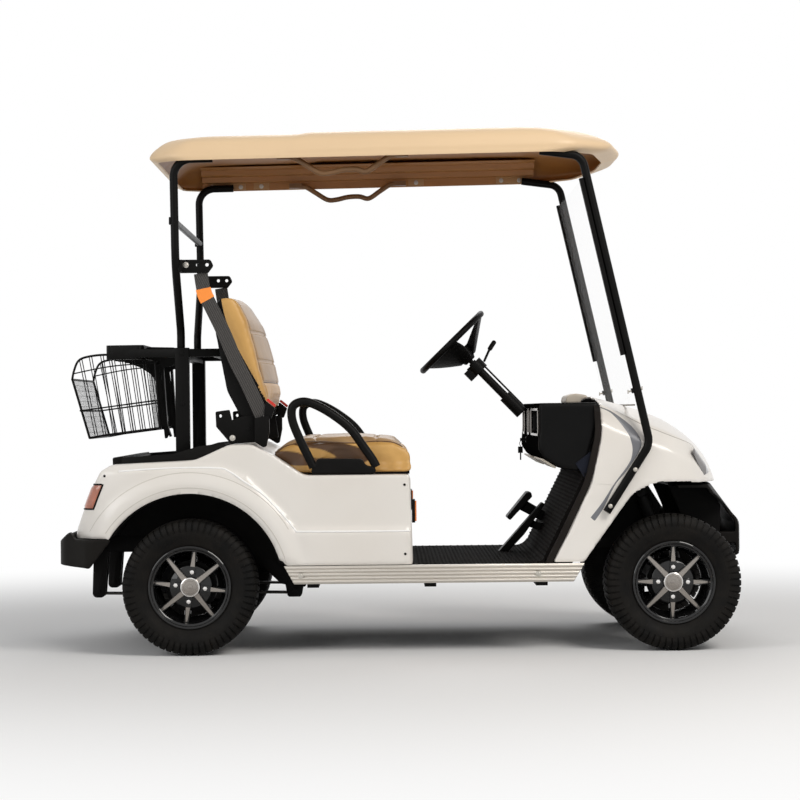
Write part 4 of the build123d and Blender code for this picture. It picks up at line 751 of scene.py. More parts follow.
def make_rear_body():
    """Moulded rear body: skin with flared fenders, a stepped crease and open arches."""
    upper = Build()
    upper.prism(at_rear(BODY_TOP + BODY_FLOOR), -BODY_HALF, BODY_HALF)
    body = loose(upper, "rear_body_skin")
    flared = Build()
    flared.prism(at_rear(CREASE + BODY_FLOOR), -SIDE, SIDE)
    combine(body, loose(flared, "flared"), "UNION")
    plan = Build()
    tail, nose, nose_r = RX - 0.405, RX + 0.7625, 0.028
    plan.prism([(tail, -SIDE, TAIL_R), (nose, -SIDE, nose_r), (nose, SIDE, nose_r), (tail, SIDE, TAIL_R)],
               0.2, 0.8, "XY", 14)
    combine(body, loose(plan, "plan"), "INTERSECT")
    arch = Build()
    arch.lathe([(ARCH_R, -0.7), (ARCH_R, 0.7)], look_along((RX, 0, AXLE_Z), (0, 1, 0)), 96, True)
    combine(body, loose(arch, "arch"), "DIFFERENCE")
    for rear, nose, half in (WELL, BAY):
        mouth = Build()
        mouth.box((rear, -half, 0.5), (nose, half, 0.8))
        combine(body, loose(mouth, "mouth"), "DIFFERENCE")
    remould(body, 8 * MM, 5)

    def outer(centre, normal):
        near_top = centre.z > top_height(centre.x) - REAR_DEPTH and normal.z > -0.3
        return (near_top or plan_depth(*centre) < REAR_DEPTH) and normal.z > -0.75

    keep_faces(body, outer)

    def flare(places):
        x, y, z = places.T
        away = np.hypot(x - RX, z - AXLE_Z)
        side = step_up(np.abs(y), 0.5, 0.54) * step_up(z, 0.30, 0.34)
        out = side * (7 * MM * bump(away, 0.356, 0.024) - 3.5 * MM * bump(away, 0.405, 0.020))
        tunnel = (away < ARCH_R + 5 * MM) & (np.abs(y) < SIDE - REAR_DEPTH + 7 * MM) & (z < 0.56)
        places[:, 1] += np.sign(y) * out
        places[:, 1] = np.where(tunnel, np.sign(y) * (SIDE - REAR_DEPTH), places[:, 1])
        near_arch = (np.abs(away - ARCH_R) < 7 * MM) & (z > 0.26)
        trued = np.where(near_arch, (ARCH_R + 0.08 * (away - ARCH_R)) / away, 1)
        places[:, 0] = RX + (x - RX) * trued
        places[:, 2] = AXLE_Z + (z - AXLE_Z) * trued
        return places

    move_points(body, flare)
    # the inner side takes the near-black painted shade
    thicken(body, 5 * MM, BODY_INNER_SHADE)
    return dress(body, "body_white", replaces=("rear_body",), degrees=60)


# rear and front station and half width of the bag well and of the battery bay
WELL = (RX - 0.238, RX + 0.120, 0.470)
BAY = (RX + 0.400, RX + 0.716, 0.440)
rear_skin = make_rear_body()

# ---------------------------------------------------------------- front cowl skin
# columns, in millimetres: x from the front axle, half width at the base, half width and height of
# the shoulder, height at the middle
COWL = [(-440, 560, 545, 850, 905), (-245, 560, 530, 838, 872), (-175, 560, 524, 803, 852),
        (-60, 562, 520, 755, 818), (30, 560, 505, 716, 776), (86, 548, 470, 682, 736),
        (130, 520, 420, 628, 696), (168, 440, 340, 578, 638), (186, 330, 260, 552, 580)]
COWL_BASE = 250
COWL_END = 186
# columns, in millimetres: x from the front axle, z, corner radius
COWL_SIDE = [(-414, 302, 0), (-368, 389, 200), (-277, 575, 300), (-240, 741, 200), (-246, 900, 0),
             (200, 900, 0), (200, 569, 0), (-60, 571, 90), (-138, 533, 60), (-307, 302, 0)]


def cowl_row(x):
    """Half width at the base, half width and height of the shoulder and height at the middle, at station x."""
    return smooth_table(COWL, (x - FX) / MM) * MM


def cowl_side_y(x, z):
    """Half width of the cowl's flank at station x and height z."""
    base, shoulder, side_z, _ = cowl_row(x)
    low = COWL_BASE * MM
    share = np.clip((z - low) / (side_z - low), 0, 1)
    return base + (shoulder - base) * share


def cowl_top_z(x, y):
    """Height of the cowl's hood at station x."""
    _, shoulder, side_z, mid_z = cowl_row(x)
    share = min(abs(y) / shoulder, 1)
    return side_z + (mid_z - side_z) * (1 - share ** 2.6)


def cowl_section(x):
    """Closed cross-section of the cowl, from one side over the hood to the other."""
    flank, top = 14, 16
    base, shoulder, side_z, mid_z = cowl_row(x)
    low = COWL_BASE * MM
    half = []
    for k in range(flank):
        share = k / flank * 0.96
        half.append((base + (shoulder - base) * share, low + (side_z - low) * share))
    for k in range(1, top + 1):
        share = 1 - k / top
        half.append((shoulder * (share * 0.985), side_z + (mid_z - side_z) * (1 - share ** 2.6)))
    other = [(-y, z) for y, z in reversed(half[:-1])]
    return [(x, y, z) for y, z in half + other]


def make_cowl():
    """Moulded front cowl: hood, flanks and legs down to the sills."""
    stations = np.concatenate([np.linspace(-440, 20, 30), np.linspace(30, COWL_END, 30)])
    form = Build()
    form.grid([cowl_section(FX + x * MM) for x in stations], wrap=True, caps=True)
    cowl = loose(form, "front_cowl_skin")
    side = Build()
    side.prism(at_front(COWL_SIDE), -0.7, 0.7, steps=12)
    combine(cowl, loose(side, "cowl_side"), "INTERSECT")
    remould(cowl, 7.5 * MM, 5)

    def outer(centre, normal):
        if normal.x < -0.75 and abs(centre.y) < 0.5:
            return False
        near_top = centre.z > cowl_top_z(centre.x, centre.y) - SKIN_DEPTH
        near_side = abs(centre.y) > cowl_side_y(centre.x, centre.z) - SKIN_DEPTH
        near_end = centre.x > FX + (COWL_END - 14) * MM
        _, shoulder, side_z, _ = cowl_row(centre.x)
        near_edge = math.hypot(abs(centre.y) - shoulder, centre.z - side_z) < 60 * MM
        return (near_top or near_side or near_end or near_edge) and normal.z > -0.75

    keep_faces(cowl, outer)
    # the inner side takes the near-black painted shade
    thicken(cowl, 5 * MM, BODY_INNER_SHADE)
    return dress(cowl, "body_white", replaces=("front_cowl",), degrees=60)


cowl_skin = make_cowl()
cowl_tree = tree_of(cowl_skin)

# lines of (x, z) from the front axle, in millimetres, from the stripe's tip under the dash to its foot
STRIPE_OUTER = [(-246, 834), (-205, 819), (-154, 785), (-123, 756), (-100, 714), (-112, 676), (-157, 611),
                (-197, 564), (-237, 486), (-269, 440)]
STRIPE_INNER = [(-246, 832), (-205, 812), (-175, 777), (-149, 735), (-138, 694), (-141, 657), (-157, 626),
                (-200, 570), (-242, 508), (-286, 454)]
HOOD_CREASE = [(-185, 818), (-97, 771), (-60, 756), (2, 731), (74, 702), (88, 680)]
PANEL_SEAM = [(-276, 573), (-232, 569), (-192, 565)]


def fit_cowl():
    """Stripe, crease line in painted shade and panel seam on each flank of the cowl."""
    for side, hand in HANDS:
        stripe = side_patch(cowl_tree, mm_line(STRIPE_OUTER, FX), mm_line(STRIPE_INNER, FX), side)
        put(stripe, f"flank_stripe_{hand}", "body_white", material=STRIPE_BLUE)
        seam = Build()
        seam.tube(side_line(cowl_tree, mm_line(PANEL_SEAM, FX), side, -0.2 * MM), 1.1 * MM, 6)
        put(seam, f"flank_seam_{hand}", "body_white")
        # crease: a grey tube set into the skin, painted shade
        crease = Build()
        crease.tube(side_line(cowl_tree, mm_line(HOOD_CREASE, FX), side, -0.9 * MM), 1.9 * MM, 8)
        put(crease, f"hood_crease_painted_shade_{hand}", "body_white", material=HOOD_CREASE_PAINTED_SHADE)


fit_cowl()

# ---------------------------------------------------------------- roof
ROOF_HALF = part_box("roof")[1].y
ROOF_TILT = math.radians(0.8)
ROOF_TOP = 1788 * MM
ROOF_DROP = 92 * MM
ROOF_X0 = RX - 128 * MM
ROOF_X1 = ROOF_X0 + 1642 * MM
# columns, in millimetres: height above the skirt's edge, insets at the sides, rear and front, corner
# radii at the rear and front
ROOF_RINGS = [(0, 1, 26, 60, 45, 120), (14, 0, 0, 8, 45, 120), (38, 6, 10, 0, 50, 120),
              (64, 18, 42, 48, 55, 115), (80, 44, 76, 104, 60, 110), (89, 90, 130, 176, 60, 100),
              (92, 150, 200, 260, 60, 100)]


ROOF_STEPS = 180                        # points round each ring


def roof_ring(row):
    """Even points round the roof at one height."""
    rise, sides, rear, front, rear_r, front_r = [value * MM for value in row]
    y = ROOF_HALF - sides
    x0, x1 = ROOF_X0 + rear, ROOF_X1 - front
    half = [(x0, y - 0.06, rear_r), (x0 + 0.09, y, rear_r), (x1 - 0.2, y, front_r),
            (x1 - 0.06, y - 0.12, front_r - 0.02), (x1, 0.15, 0.4)]
    rows = half + [(x, -depth, radius) for x, depth, radius in reversed(half)]
    loop = [Vector((p.x, p.y, 0)) for p in rounded(rows, 8)]
    start = Vector((x0, 0, 0))
    loop = [start] + loop + [start]
    lengths = np.cumsum([0] + [(b - a).length for a, b in zip(loop, loop[1:])])
    spots = np.linspace(0, lengths[-1], ROOF_STEPS, endpoint=False)
    xs = np.interp(spots, lengths, [p.x for p in loop])
    ys = np.interp(spots, lengths, [p.y for p in loop])
    return np.stack([xs, ys, np.full(ROOF_STEPS, ROOF_TOP - ROOF_DROP + rise)], axis=1)


def make_roof():
    """Moulded roof: rounded skirt, near-flat crown and a raised front section."""
    rings = [roof_ring(row) for row in ROOF_RINGS]
    fine = []
    for i in range(len(rings) - 1):
        before = rings[max(i - 1, 0)]
        after = rings[min(i + 2, len(rings) - 1)]
        for k in range(5):
            t = k / 5
            fine.append(0.5 * (2 * rings[i] + (rings[i + 1] - before) * t
                               + (2 * before - 5 * rings[i] + 4 * rings[i + 1] - after) * t * t
                               + (3 * rings[i] - before - 3 * rings[i + 1] + after) * t ** 3))
    fine.append(rings[-1])
    last = rings[-1]
    centre = last.mean(axis=0)
    for share in (0.9, 0.75, 0.55, 0.35, 0.15):
        ring = centre + (last - centre) * share
        ring[:, 2] = last[:, 2] + 0.004 * (1 - share)
        fine.append(ring)
    form = Build()
    form.grid(fine, wrap=True)
    crown = len(form.points)
    form.points.append((centre[0], centre[1], last[0, 2] + 0.004))
    count = len(last)
    start = crown - count
    form.faces.extend((start + k, start + (k + 1) % count, crown) for k in range(count))
    roof = loose(form, "roof_skin")

    def shape(places):
        x, y, z = places.T
        height = z - (ROOF_TOP - ROOF_DROP)
        edge = RX + 0.330 + (height - 0.02) * 1.1
        raised = step_up(x, edge - 0.018, edge + 0.018) * step_up(height, 0.012, 0.03)
        ends = 1 - step_up(x, ROOF_X1 - 0.30, ROOF_X1 - 0.05)
        places[:, 2] += 0.006 * raised * ends * step_up(height, 0.05, 0.085)
        places[:, 1] += np.sign(y) * 0.004 * raised * ends * (1 - step_up(height, 0.06, 0.09))
        pivot = np.array([(RX + FX) / 2, 0, ROOF_TOP])
        spin = np.array(Matrix.Rotation(-ROOF_TILT, 3, "Y"))
        return (places - pivot) @ spin.T + pivot

    move_points(roof, shape)
    # underside in the darker beige: painted shade
    thicken(roof, 5 * MM, ROOF_UNDER_PAINTED_SHADE)
    return dress(roof, "roof_plastic", replaces=("roof",), degrees=50)


roof_skin = make_roof()


def roof_edge_z(x):
    """Height of the roof's lower edge at a station."""
    return ROOF_TOP - ROOF_DROP + (x - (RX + FX) / 2) * math.tan(ROOF_TILT)


# columns, in millimetres: distance in from the skirt and height above its lower edge
ROOF_STEPS = [(14, 1), (17, 30), (40, 33), (44, 52), (84, 56), (90, 74), (150, 80)]
# columns: station from the rear axle and width of each bolted plate, in millimetres
RAIL_PLATES = [(-10, 150), (170, 60), (770, 60), (1110, 110)]


def line_roof():
    """Stepped inner channels along both sides of the roof, with bolted plates."""
    channel, plates, bolts = Build(), Build(), Build()
    stations = np.linspace(ROOF_X0 + 0.10, ROOF_X1 - 0.26, 24)
    for side in SIDES:
        rows = []
        for x in stations:
            end = min(1, (x - ROOF_X0) / 0.16, (ROOF_X1 - 0.1 - x) / 0.16)
            rows.append([(x, side * (ROOF_HALF - (inset + 10 * (1 - end)) * MM), roof_edge_z(x) + rise * MM)
                         for inset, rise in ROOF_STEPS])
        channel.grid(rows)
        for at, width in RAIL_PLATES:
            x0, x1 = RX + at * MM, RX + (at + width) * MM
            y = side * (ROOF_HALF - 17 * MM)
            z = roof_edge_z((x0 + x1) / 2)
            face = y - side * 3 * MM
            plates.box((x0, min(y, face), z + 3 * MM), (x1, max(y, face), z + 30 * MM), 0.8 * MM)
            for x in ([x0 + 20 * MM, x1 - 20 * MM] if width > 100 else [(x0 + x1) / 2]):
                bolts.bolt((x, face, z + 15 * MM), (0, -side, 0), 6 * MM, 4 * MM, True)
    obj = loose(channel, "roof_channels")
    thicken(obj, 2 * MM)
    # channels in the darker beige: painted shade
    dress(obj, "roof_plastic", degrees=25, material=ROOF_UNDER_PAINTED_SHADE)
    put(plates, "roof_rail_plates", "roof_plastic", material=ROOF_PLATE)
    put(bolts, "roof_rail_bolts", "black_steel", material=ZINC)


line_roof()


# ---------------------------------------------------------------- tyres
LUGS = 60
# share of one lug's pitch, and whether the tread is cut there
LUG_STEPS = [(0.0, 0), (0.05, 1), (0.25, 1), (0.30, 0), (0.62, 0)]
# columns: radius, distance from the wheel's middle plane, depth of the tread's cuts, in millimetres
TYRE_WALLS = [(129, 60, 0), (131, 71, 0), (143, 77, 0), (146, 79, 0), (152, 80, 0), (166, 88, 0), (180, 93, 0),
              (188, 94, 0), (192, 94, 2), (197, 95.5, 4), (203, 95.5, 4.5), (209, 94, 4.5), (215, 91.5, 4.5),
              (219, 89.5, 4.5), (224.5, 85, 4.5), (228, 79, 5), (230, 72, 5), (230.6, 60, 5), (231, 57, 5)]
# the middle of the tread: radius, distance, cut
TREAD = [(226, 56.5, 0), (226, 51.5, 0), (231.3, 51, 5), (231.8, 28, 5), (227, 27.5, 0), (227, 22.5, 0),
         (232, 22, 5), (232, 0, 5)]


# inside of the tyre: radius and distance
TYRE_LINING = [(134, 52), (200, 76), (216, 60), (216, -60), (200, -76), (134, -52)]


def make_tyre():
    """Tyre in its own frame: its axle along Z, outboard side up."""
    half = TYRE_WALLS + TREAD
    profile = half + [(r, -w, cut) for r, w, cut in reversed(half[:-1])]
    rows = []
    for r, w, cut in profile:
        row = []
        for lug in range(LUGS):
            skew = 0.45 * abs(w) / 90 + (0.5 if w < 0 else 0)
            for share, low in LUG_STEPS:
                turn = 2 * math.pi * (lug + share + skew) / LUGS
                depth = cut if low else 0
                radius = (r - depth) * MM
                width = w - math.copysign(0.8 * depth, w) if abs(w) > 80 else w
                row.append((radius * math.cos(turn), radius * math.sin(turn), width * MM))
        rows.append(row)
    tyre = Build()
    tyre.grid(rows, wrap=True)
    lining = []
    count = len(rows[0])
    for r, w in TYRE_LINING:
        turns = [2 * math.pi * k / count for k in range(count)]
        lining.append([(r * MM * math.cos(turn), r * MM * math.sin(turn), w * MM) for turn in turns])
    tyre.grid(lining, wrap=True)
    return tyre


# ---------------------------------------------------------------- rims
# columns, in millimetres: radius and distance along the axle, outboard side up
BARREL = [(121, -84), (139, -84), (141, -82), (141, -78), (136, -77), (128, -74), (127, -60), (112, -44),
          (112, 6), (124, 24), (127, 60), (128, 74), (136, 77), (141, 78.5), (141, 82.5), (138.5, 84),
          (134, 83), (131, 78), (124.5, 74), (123, 58), (119, 30), (107, 10), (107, -46), (121, -64)]
DISC = [(20, 22), (72, 22), (74, 24), (74, 33), (70, 36), (40, 37), (30, 40)]
SPOKE_FACE = 58
LONG_SPOKE = [(30, -8.5), (80, -6.5), (119, -4.5), (126, -1.5), (124, 4.5), (80, 6.5), (30, 8.5)]
SHORT_SPOKE = [(70, -7.5), (100, -5), (120, -2.5), (119, 2.5), (100, 5), (70, 7.5)]


def spoke_prism(build, rows, angle, low, high, slope=0.0):
    """Spoke outline of (radius, width) rows between two levels, turned about the axle."""
    spin = Matrix.Rotation(angle, 3, "Z")
    rings = []
    for level, grow in ((low, 1.35), (high, 1.0)):
        rings.append([spin @ Vector((r * MM, w * MM * grow, (level - slope * (r - 30)) * MM)) for r, w in rows])
    build.grid(rings, wrap=True, caps=True)


def make_rim():
    """Black rim in its own frame, and the parts with other finishes."""
    black, silver, chrome = Build(), Build(), Build()
    home = Matrix.Identity(4)
    black.lathe([(r * MM, w * MM) for r, w in BARREL + BARREL[:1]], home, 96)
    black.lathe([(r * MM, w * MM) for r, w in DISC], home, 64, True)
    for k in range(8):
        angle = math.pi / 4 * k
        is_long = k % 2 == 1
        rows = LONG_SPOKE if is_long else SHORT_SPOKE
        arm = [(30, -11), (126, -7), (126, 7), (30, 11)]
        # how far a short spoke's arm, face's foot and face lie under a long one's, and both slopes
        arm_drop, foot_drop, face_drop = (0, 0, 0) if is_long else (12, 9, 6)
        arm_slope, face_slope = (0.10, 0.10) if is_long else (0.02, 0.06)
        spoke_prism(black, arm, angle, 20, SPOKE_FACE - 1 - arm_drop, arm_slope)
        spoke_prism(silver, rows, angle, SPOKE_FACE - 2 - foot_drop, SPOKE_FACE + 0.4 - face_drop, face_slope)
    for k in range(4):
        spot = Matrix.Rotation(math.pi / 2 * k, 4, "Z") @ Matrix.Translation((0.0508, 0, 0.036))
        black.lathe([(0.013, 0), (0.0125, 0.003), (0.0105, 0.004)], spot, 20, True)
        chrome.lathe([(0.0088, 0.001), (0.0088, 0.012), (0.0075, 0.0145), (0.004, 0.0155)], spot, 6, True)
    black.lathe([(0.036, 0.030), (0.036, 0.052), (0.034, 0.0555)], home, 40, True)
    ring = [(0.034, 0.050), (0.0345, 0.058), (0.0325, 0.0625), (0.030, 0.0635), (0.0292, 0.062)]
    chrome.lathe(ring, home, 48, True)
    cap = Build()
    cap.lathe([(0.0292, 0.060), (0.0285, 0.0625), (0.022, 0.0640), (0.0212, 0.0631), (0.010, 0.0645),
               (0.0092, 0.0638), (0.003, 0.0650)], home, 48, True)
    return {"rim": (black, None), "spokes": (silver, SILVER), "cap_ring": (chrome, CHROME),
            "cap": (cap, SILVER)}


PARKED = {"rear": -7, "front": -1}              # degrees that the wheels stand turned


def fit_wheels():
    """Tyre and rim pieces at each of the four wheels."""
    tyre = make_tyre()
    parts = make_rim()
    for end in ("front", "rear"):
        for hand, out in (("left", 1), ("right", -1)):
            name = f"{end}_{hand}"
            hub = middle(f"tyre_{name}")
            parked = math.radians(PARKED[end])
            place = (Matrix.Translation(hub) @ Matrix.Rotation(-out * math.pi / 2, 4, "X")
                     @ Matrix.Rotation(parked, 4, "Z"))
            body = f"wheel_{name}"
            obj = loose(tyre, f"tyre_tread_{name}")
            obj.data.transform(place)
            dress(obj, "tyre_rubber", body, (f"tyre_{name}",), 30)
            for part, (build, material) in parts.items():
                obj = loose(build, f"{part}_{name}_finish")
                obj.data.transform(place)
                dress(obj, "rim_black", body, (f"rim_{name}",) if part == "rim" else (), 35, material)


fit_wheels()


# ---------------------------------------------------------------- cushions
def places(obj):
    """Places of an object's points, as rows."""
    flat = np.zeros(len(obj.data.vertices) * 3)
    obj.data.vertices.foreach_get("co", flat)
    return flat.reshape(-1, 3)


CLOTH = {"quality": 5, "mass": 0.3, "tension_stiffness": 15, "compression_stiffness": 15,
         "bending_stiffness": 0.5, "use_pressure": True, "uniform_pressure_force": 4.0}


def inflate(obj, cap, free):
    """Fills a soft form under light pressure.

    free(places) gives each point's share of the move, which is capped.
    """
    start = places(obj)
    cloth = obj.modifiers.new("fill", "CLOTH")
    for key, value in CLOTH.items():
        setattr(cloth.settings, key, value)
    cloth.settings.effector_weights.gravity = 0
    for frame_number in range(1, 21):
        bpy.context.scene.frame_set(frame_number)
    settle(obj)
    bpy.context.scene.frame_set(1)
    move = places(obj) - start
    move -= move.mean(axis=0)
    length = np.linalg.norm(move, axis=1, keepdims=True)
    move *= np.minimum(1, cap / np.maximum(length, 1e-9)) * free(start)[:, None]
    move_points(obj, lambda spots: start + move)


def fit_box(obj, low, high):
    """Stretches a form to a box."""
    def fit(spots):
        a, b = spots.min(axis=0), spots.max(axis=0)
        return low + (spots - a) / (b - a) * (np.array(high) - low)
    low = np.array(low)
    move_points(obj, fit)


def finer(obj):
    """One rounding subdivision."""
    modify(obj, "SUBSURF", levels=1, render_levels=1)
    settle(obj)


def line_at(line, value):
    """Second number of a line of (first, second) at a first number, as an array."""
    rows = sorted(line)
    return np.interp(value, [row[0] for row in rows], [row[1] for row in rows])


def pipe_spots(tree, line, side, lift):
    """Points of a seam's piping on one side of a cushion."""
    return [spot for spot in (cast_side(tree, p.x, p.z, side, lift)
                              for p in curve_through([(x, 0, z) for x, z in line], 6)) if spot is not None]


SEAT_HALF = 502 * MM
# columns: x from the rear axle, z, corner radius, in millimetres
SEAT_SIDE = [(300, 688, 8), (394, 618, 6), (736, 618, 16), (750, 668, 30), (738, 700, 24), (700, 720, 60),
             (560, 732, 200), (400, 728, 60), (320, 708, 14)]
SEAT_SEAM = mm_line([(292, 688), (302, 691), (331, 709), (388, 722), (450, 723), (507, 719), (570, 717),
                     (638, 722), (695, 718), (729, 703)], RX)
# outlines of (x, z) of the dark brown painted shadow and reflection on the seat's sides
SEAT_PAINTED_SHADE = [mm_line(rows, RX) for rows in (
    [(345, 714), (388, 722), (507, 720), (564, 707), (596, 692), (602, 652), (430, 652), (438, 667), (501, 669),
     (456, 695), (399, 704), (359, 712)],
    [(286, 684), (308, 692), (365, 688), (399, 674), (438, 665), (430, 645), (340, 645)])]
SEAT_CHANNELS_X = (RX + 0.430, RX + 0.640)      # sewn lines across the seat
SEAT_CHANNELS_Y = (-0.235, 0.0, 0.235)          # and along it


def seat_rules(spots):
    """Sunk seams and channels of the seat, with gathers at its lower front corners."""
    x, y, z = spots[:, 0].copy(), spots[:, 1].copy(), spots[:, 2].copy()
    seam = line_distance(x, z, SEAT_SEAM)
    flank = step_up(np.abs(y), 0.44, 0.48)
    y -= np.sign(y) * 3.5 * MM * np.exp(-(seam / (5 * MM)) ** 2) * flank
    front = step_up(x, RX + 0.715, RX + 0.735)
    x -= 3.5 * MM * np.exp(-((z - 0.703) / (5 * MM)) ** 2) * front
    top = step_up(z, 0.705, 0.722) * (1 - step_up(np.abs(y), 0.45, 0.48))
    sunk = np.zeros(len(z))
    for at in SEAT_CHANNELS_X:
        sunk = np.maximum(sunk, 5 * MM * np.exp(-((x - at) / (7 * MM)) ** 2))
    for at in SEAT_CHANNELS_Y:
        sunk = np.maximum(sunk, (8 if at == 0 else 4) * MM * np.exp(-((y - at) / (8 * MM)) ** 2))
    z -= sunk * top
    low = (1 - step_up(z, 0.64, 0.685)) * step_up(z, 0.618, 0.628)
    ripple = np.sin(y * 2 * math.pi / 0.046 + 0.6 * np.sin(y * 17))
    x += 2.2 * MM * ripple * low * front
    side_ripple = np.sin(x * 2 * math.pi / 0.052 + 0.5 * np.sin(x * 31)) * flank * low
    y += np.sign(y) * 1.8 * MM * (side_ripple * step_up(x, RX + 0.45, RX + 0.62))
    return np.stack([x, y, z], axis=1)


def side_painted_shade(obj):
    """Marks each point of the seat with how far the dark brown painted shadow and reflection on its sides
    covers it.
    """
    x, y, z = np.array([point.co[:] for point in obj.data.vertices]).T
    depth = np.full(len(x), -9.0)
    for polygon in SEAT_PAINTED_SHADE:
        ring = [(spot.x, spot.y) for spot in curve_through([(a, b, 0) for a, b in polygon], 5, closed=True)]
        depth = np.maximum(depth, np.where(inside(ring, x, z), 1, -1) * line_distance(x, z, ring + ring[:1]))
    cover = np.clip(0.5 + depth / (3 * MM), 0, 1) * (np.abs(y) > 0.43)
    obj.data.attributes.new("side_painted_shade", "FLOAT", "POINT").data.foreach_set("value", cover.astype(np.float32))


def make_seat():
    """Seat cushion: beige top, gold roll, dark brown painted shadow and reflection on its sides, piped seam and
    sewn channels.
    """
    block = Build()
    block.prism(at_rear(SEAT_SIDE), -SEAT_HALF + 10 * MM, SEAT_HALF - 10 * MM)
    seat = loose(block, "seat_cushion_filled")
    remould(seat, 9 * MM, 6)
    inflate(seat, 22 * MM, lambda spots: step_up(spots[:, 2], 0.619, 0.66))
    fit_box(seat, (RX + 0.290, -SEAT_HALF, 0.6172), (RX + 0.758, SEAT_HALF, 0.7435))
    finer(seat)
    move_points(seat, seat_rules)
    lighten(seat, 0.75)
    dress(seat, "seat_leather", "seat_lid", ("seat_cushion",), 60, SHADED_SIDE_VINYL)

    def beige(centres, normals):
        seam = np.where(centres[:, 0] > RX + 0.729, 0.703, line_at(SEAT_SEAM, centres[:, 0]))
        return (centres[:, 2] > seam) & (normals[:, 2] > -0.5)

    paint(seat, BEIGE_VINYL, beige)
    side_painted_shade(seat)
    tree = tree_of(seat)
    piping, threads = Build(), Build()
    right = pipe_spots(tree, SEAT_SEAM, -1, 0.2 * MM)
    left = pipe_spots(tree, SEAT_SEAM, 1, 0.2 * MM)
    across = []
    for y in np.linspace(-0.47, 0.47, 40):
        spot = tree.ray_cast(Vector((RX + 0.9, float(y), 0.703)), Vector((-1, 0, 0)))[0]
        if spot:
            across.append(spot + Vector((0.2 * MM, 0, 0)))
    piping.tube(right + across + list(reversed(left)), 2.4 * MM, 6)

    def top_line(plan):
        """Points of the cushion's top under (x, y) places."""
        found = [tree.ray_cast(Vector((x, y, 0.9)), Vector((0, 0, -1)))[0] for x, y in plan]
        return [spot for spot in found if spot]

    for y in SEAT_CHANNELS_Y:
        for offset in (-9 * MM, 9 * MM):
            threads.tube(top_line((x, y + offset) for x in np.linspace(RX + 0.32, RX + 0.72, 40)), 0.9 * MM, 5)
    for x in SEAT_CHANNELS_X:
        for offset in (-8 * MM, 8 * MM):
            threads.tube(top_line((x + offset, y) for y in np.linspace(-0.45, 0.45, 60)), 0.9 * MM, 5)
    put(piping, "seat_piping", "seat_leather", "seat_lid", material=BROWN_VINYL)
    put(threads, "seat_threads", "seat_leather", "seat_lid", material=THREAD)


BACK_HALF = 474 * MM
# columns: x from the rear axle, z, corner radius, in millimetres
BACK_SIDE = [(96, 1190, 16), (114, 1217, 14), (156, 1217, 18), (196, 1135, 120), (229, 1008, 150),
             (250, 920, 80), (266, 866, 12), (258, 842, 8), (228, 843, 6)]
BACK_EDGE = mm_line([(100, 1230), (108, 1216), (116, 1175), (129, 1129), (157, 1060), (196, 985), (235, 916),
                     (269, 853)], RX)
BACK_PANEL_Y = 435 * MM                         # sewn front panel, from the middle plane
BACK_ROLL_Z = 930 * MM                          # below it the front panel is gold
BACK_CHANNELS_Z = (1.005, 1.105)                # sewn lines across the backrest
BACK_REAR = [(1.190, RX + 0.095), (0.841, RX + 0.228)]      # (z, x) of its flat rear


def back_crown(spots):
    """Crowns the backrest forward in its middle."""
    x, y, z = spots[:, 0].copy(), spots[:, 1], spots[:, 2]
    rear = line_at(BACK_REAR, z)
    depth = np.clip((x - rear) / 0.04, 0, 1)
    tall = line_at([(0.84, 4), (0.865, 10), (0.894, 24), (0.951, 27), (1.008, 29), (1.077, 28), (1.135, 24),
                    (1.185, 14), (1.22, 12)], z) * MM
    x += tall * depth * np.clip(1 - (np.abs(y) / BACK_PANEL_Y) ** 2.4, 0, 1)
    z = z + 10 * MM * step_up(z, 1.15, 1.22) * np.clip(1 - (np.abs(y) / 0.46) ** 3, 0, 1)
    return np.stack([x, y, z], axis=1)


def back_rules(spots):
    """Sunk seams and sewn channels of the backrest's front."""
    x, y, z = spots[:, 0].copy(), spots[:, 1], spots[:, 2]
    front = (x > line_at([(1.23, RX + 0.110), (0.85, RX + 0.235)], z)).astype(float)
    seam = np.exp(-((np.abs(y) - BACK_PANEL_Y) / (5 * MM)) ** 2)
    middle_line = np.exp(-(y / (7 * MM)) ** 2) * step_up(z, BACK_ROLL_Z, BACK_ROLL_Z + 0.01)
    roll = np.exp(-((z - BACK_ROLL_Z) / (6 * MM)) ** 2) * (np.abs(y) < BACK_PANEL_Y)
    cross = np.zeros(len(x))
    for at in BACK_CHANNELS_Z:
        cross = np.maximum(cross, np.exp(-((z - at) / (7 * MM)) ** 2) * (np.abs(y) < BACK_PANEL_Y))
    sunk = np.maximum.reduce([4 * seam, 7 * middle_line, 5 * roll, 4 * cross])
    x -= sunk * MM * front
    return np.stack([x, y, z], axis=1)


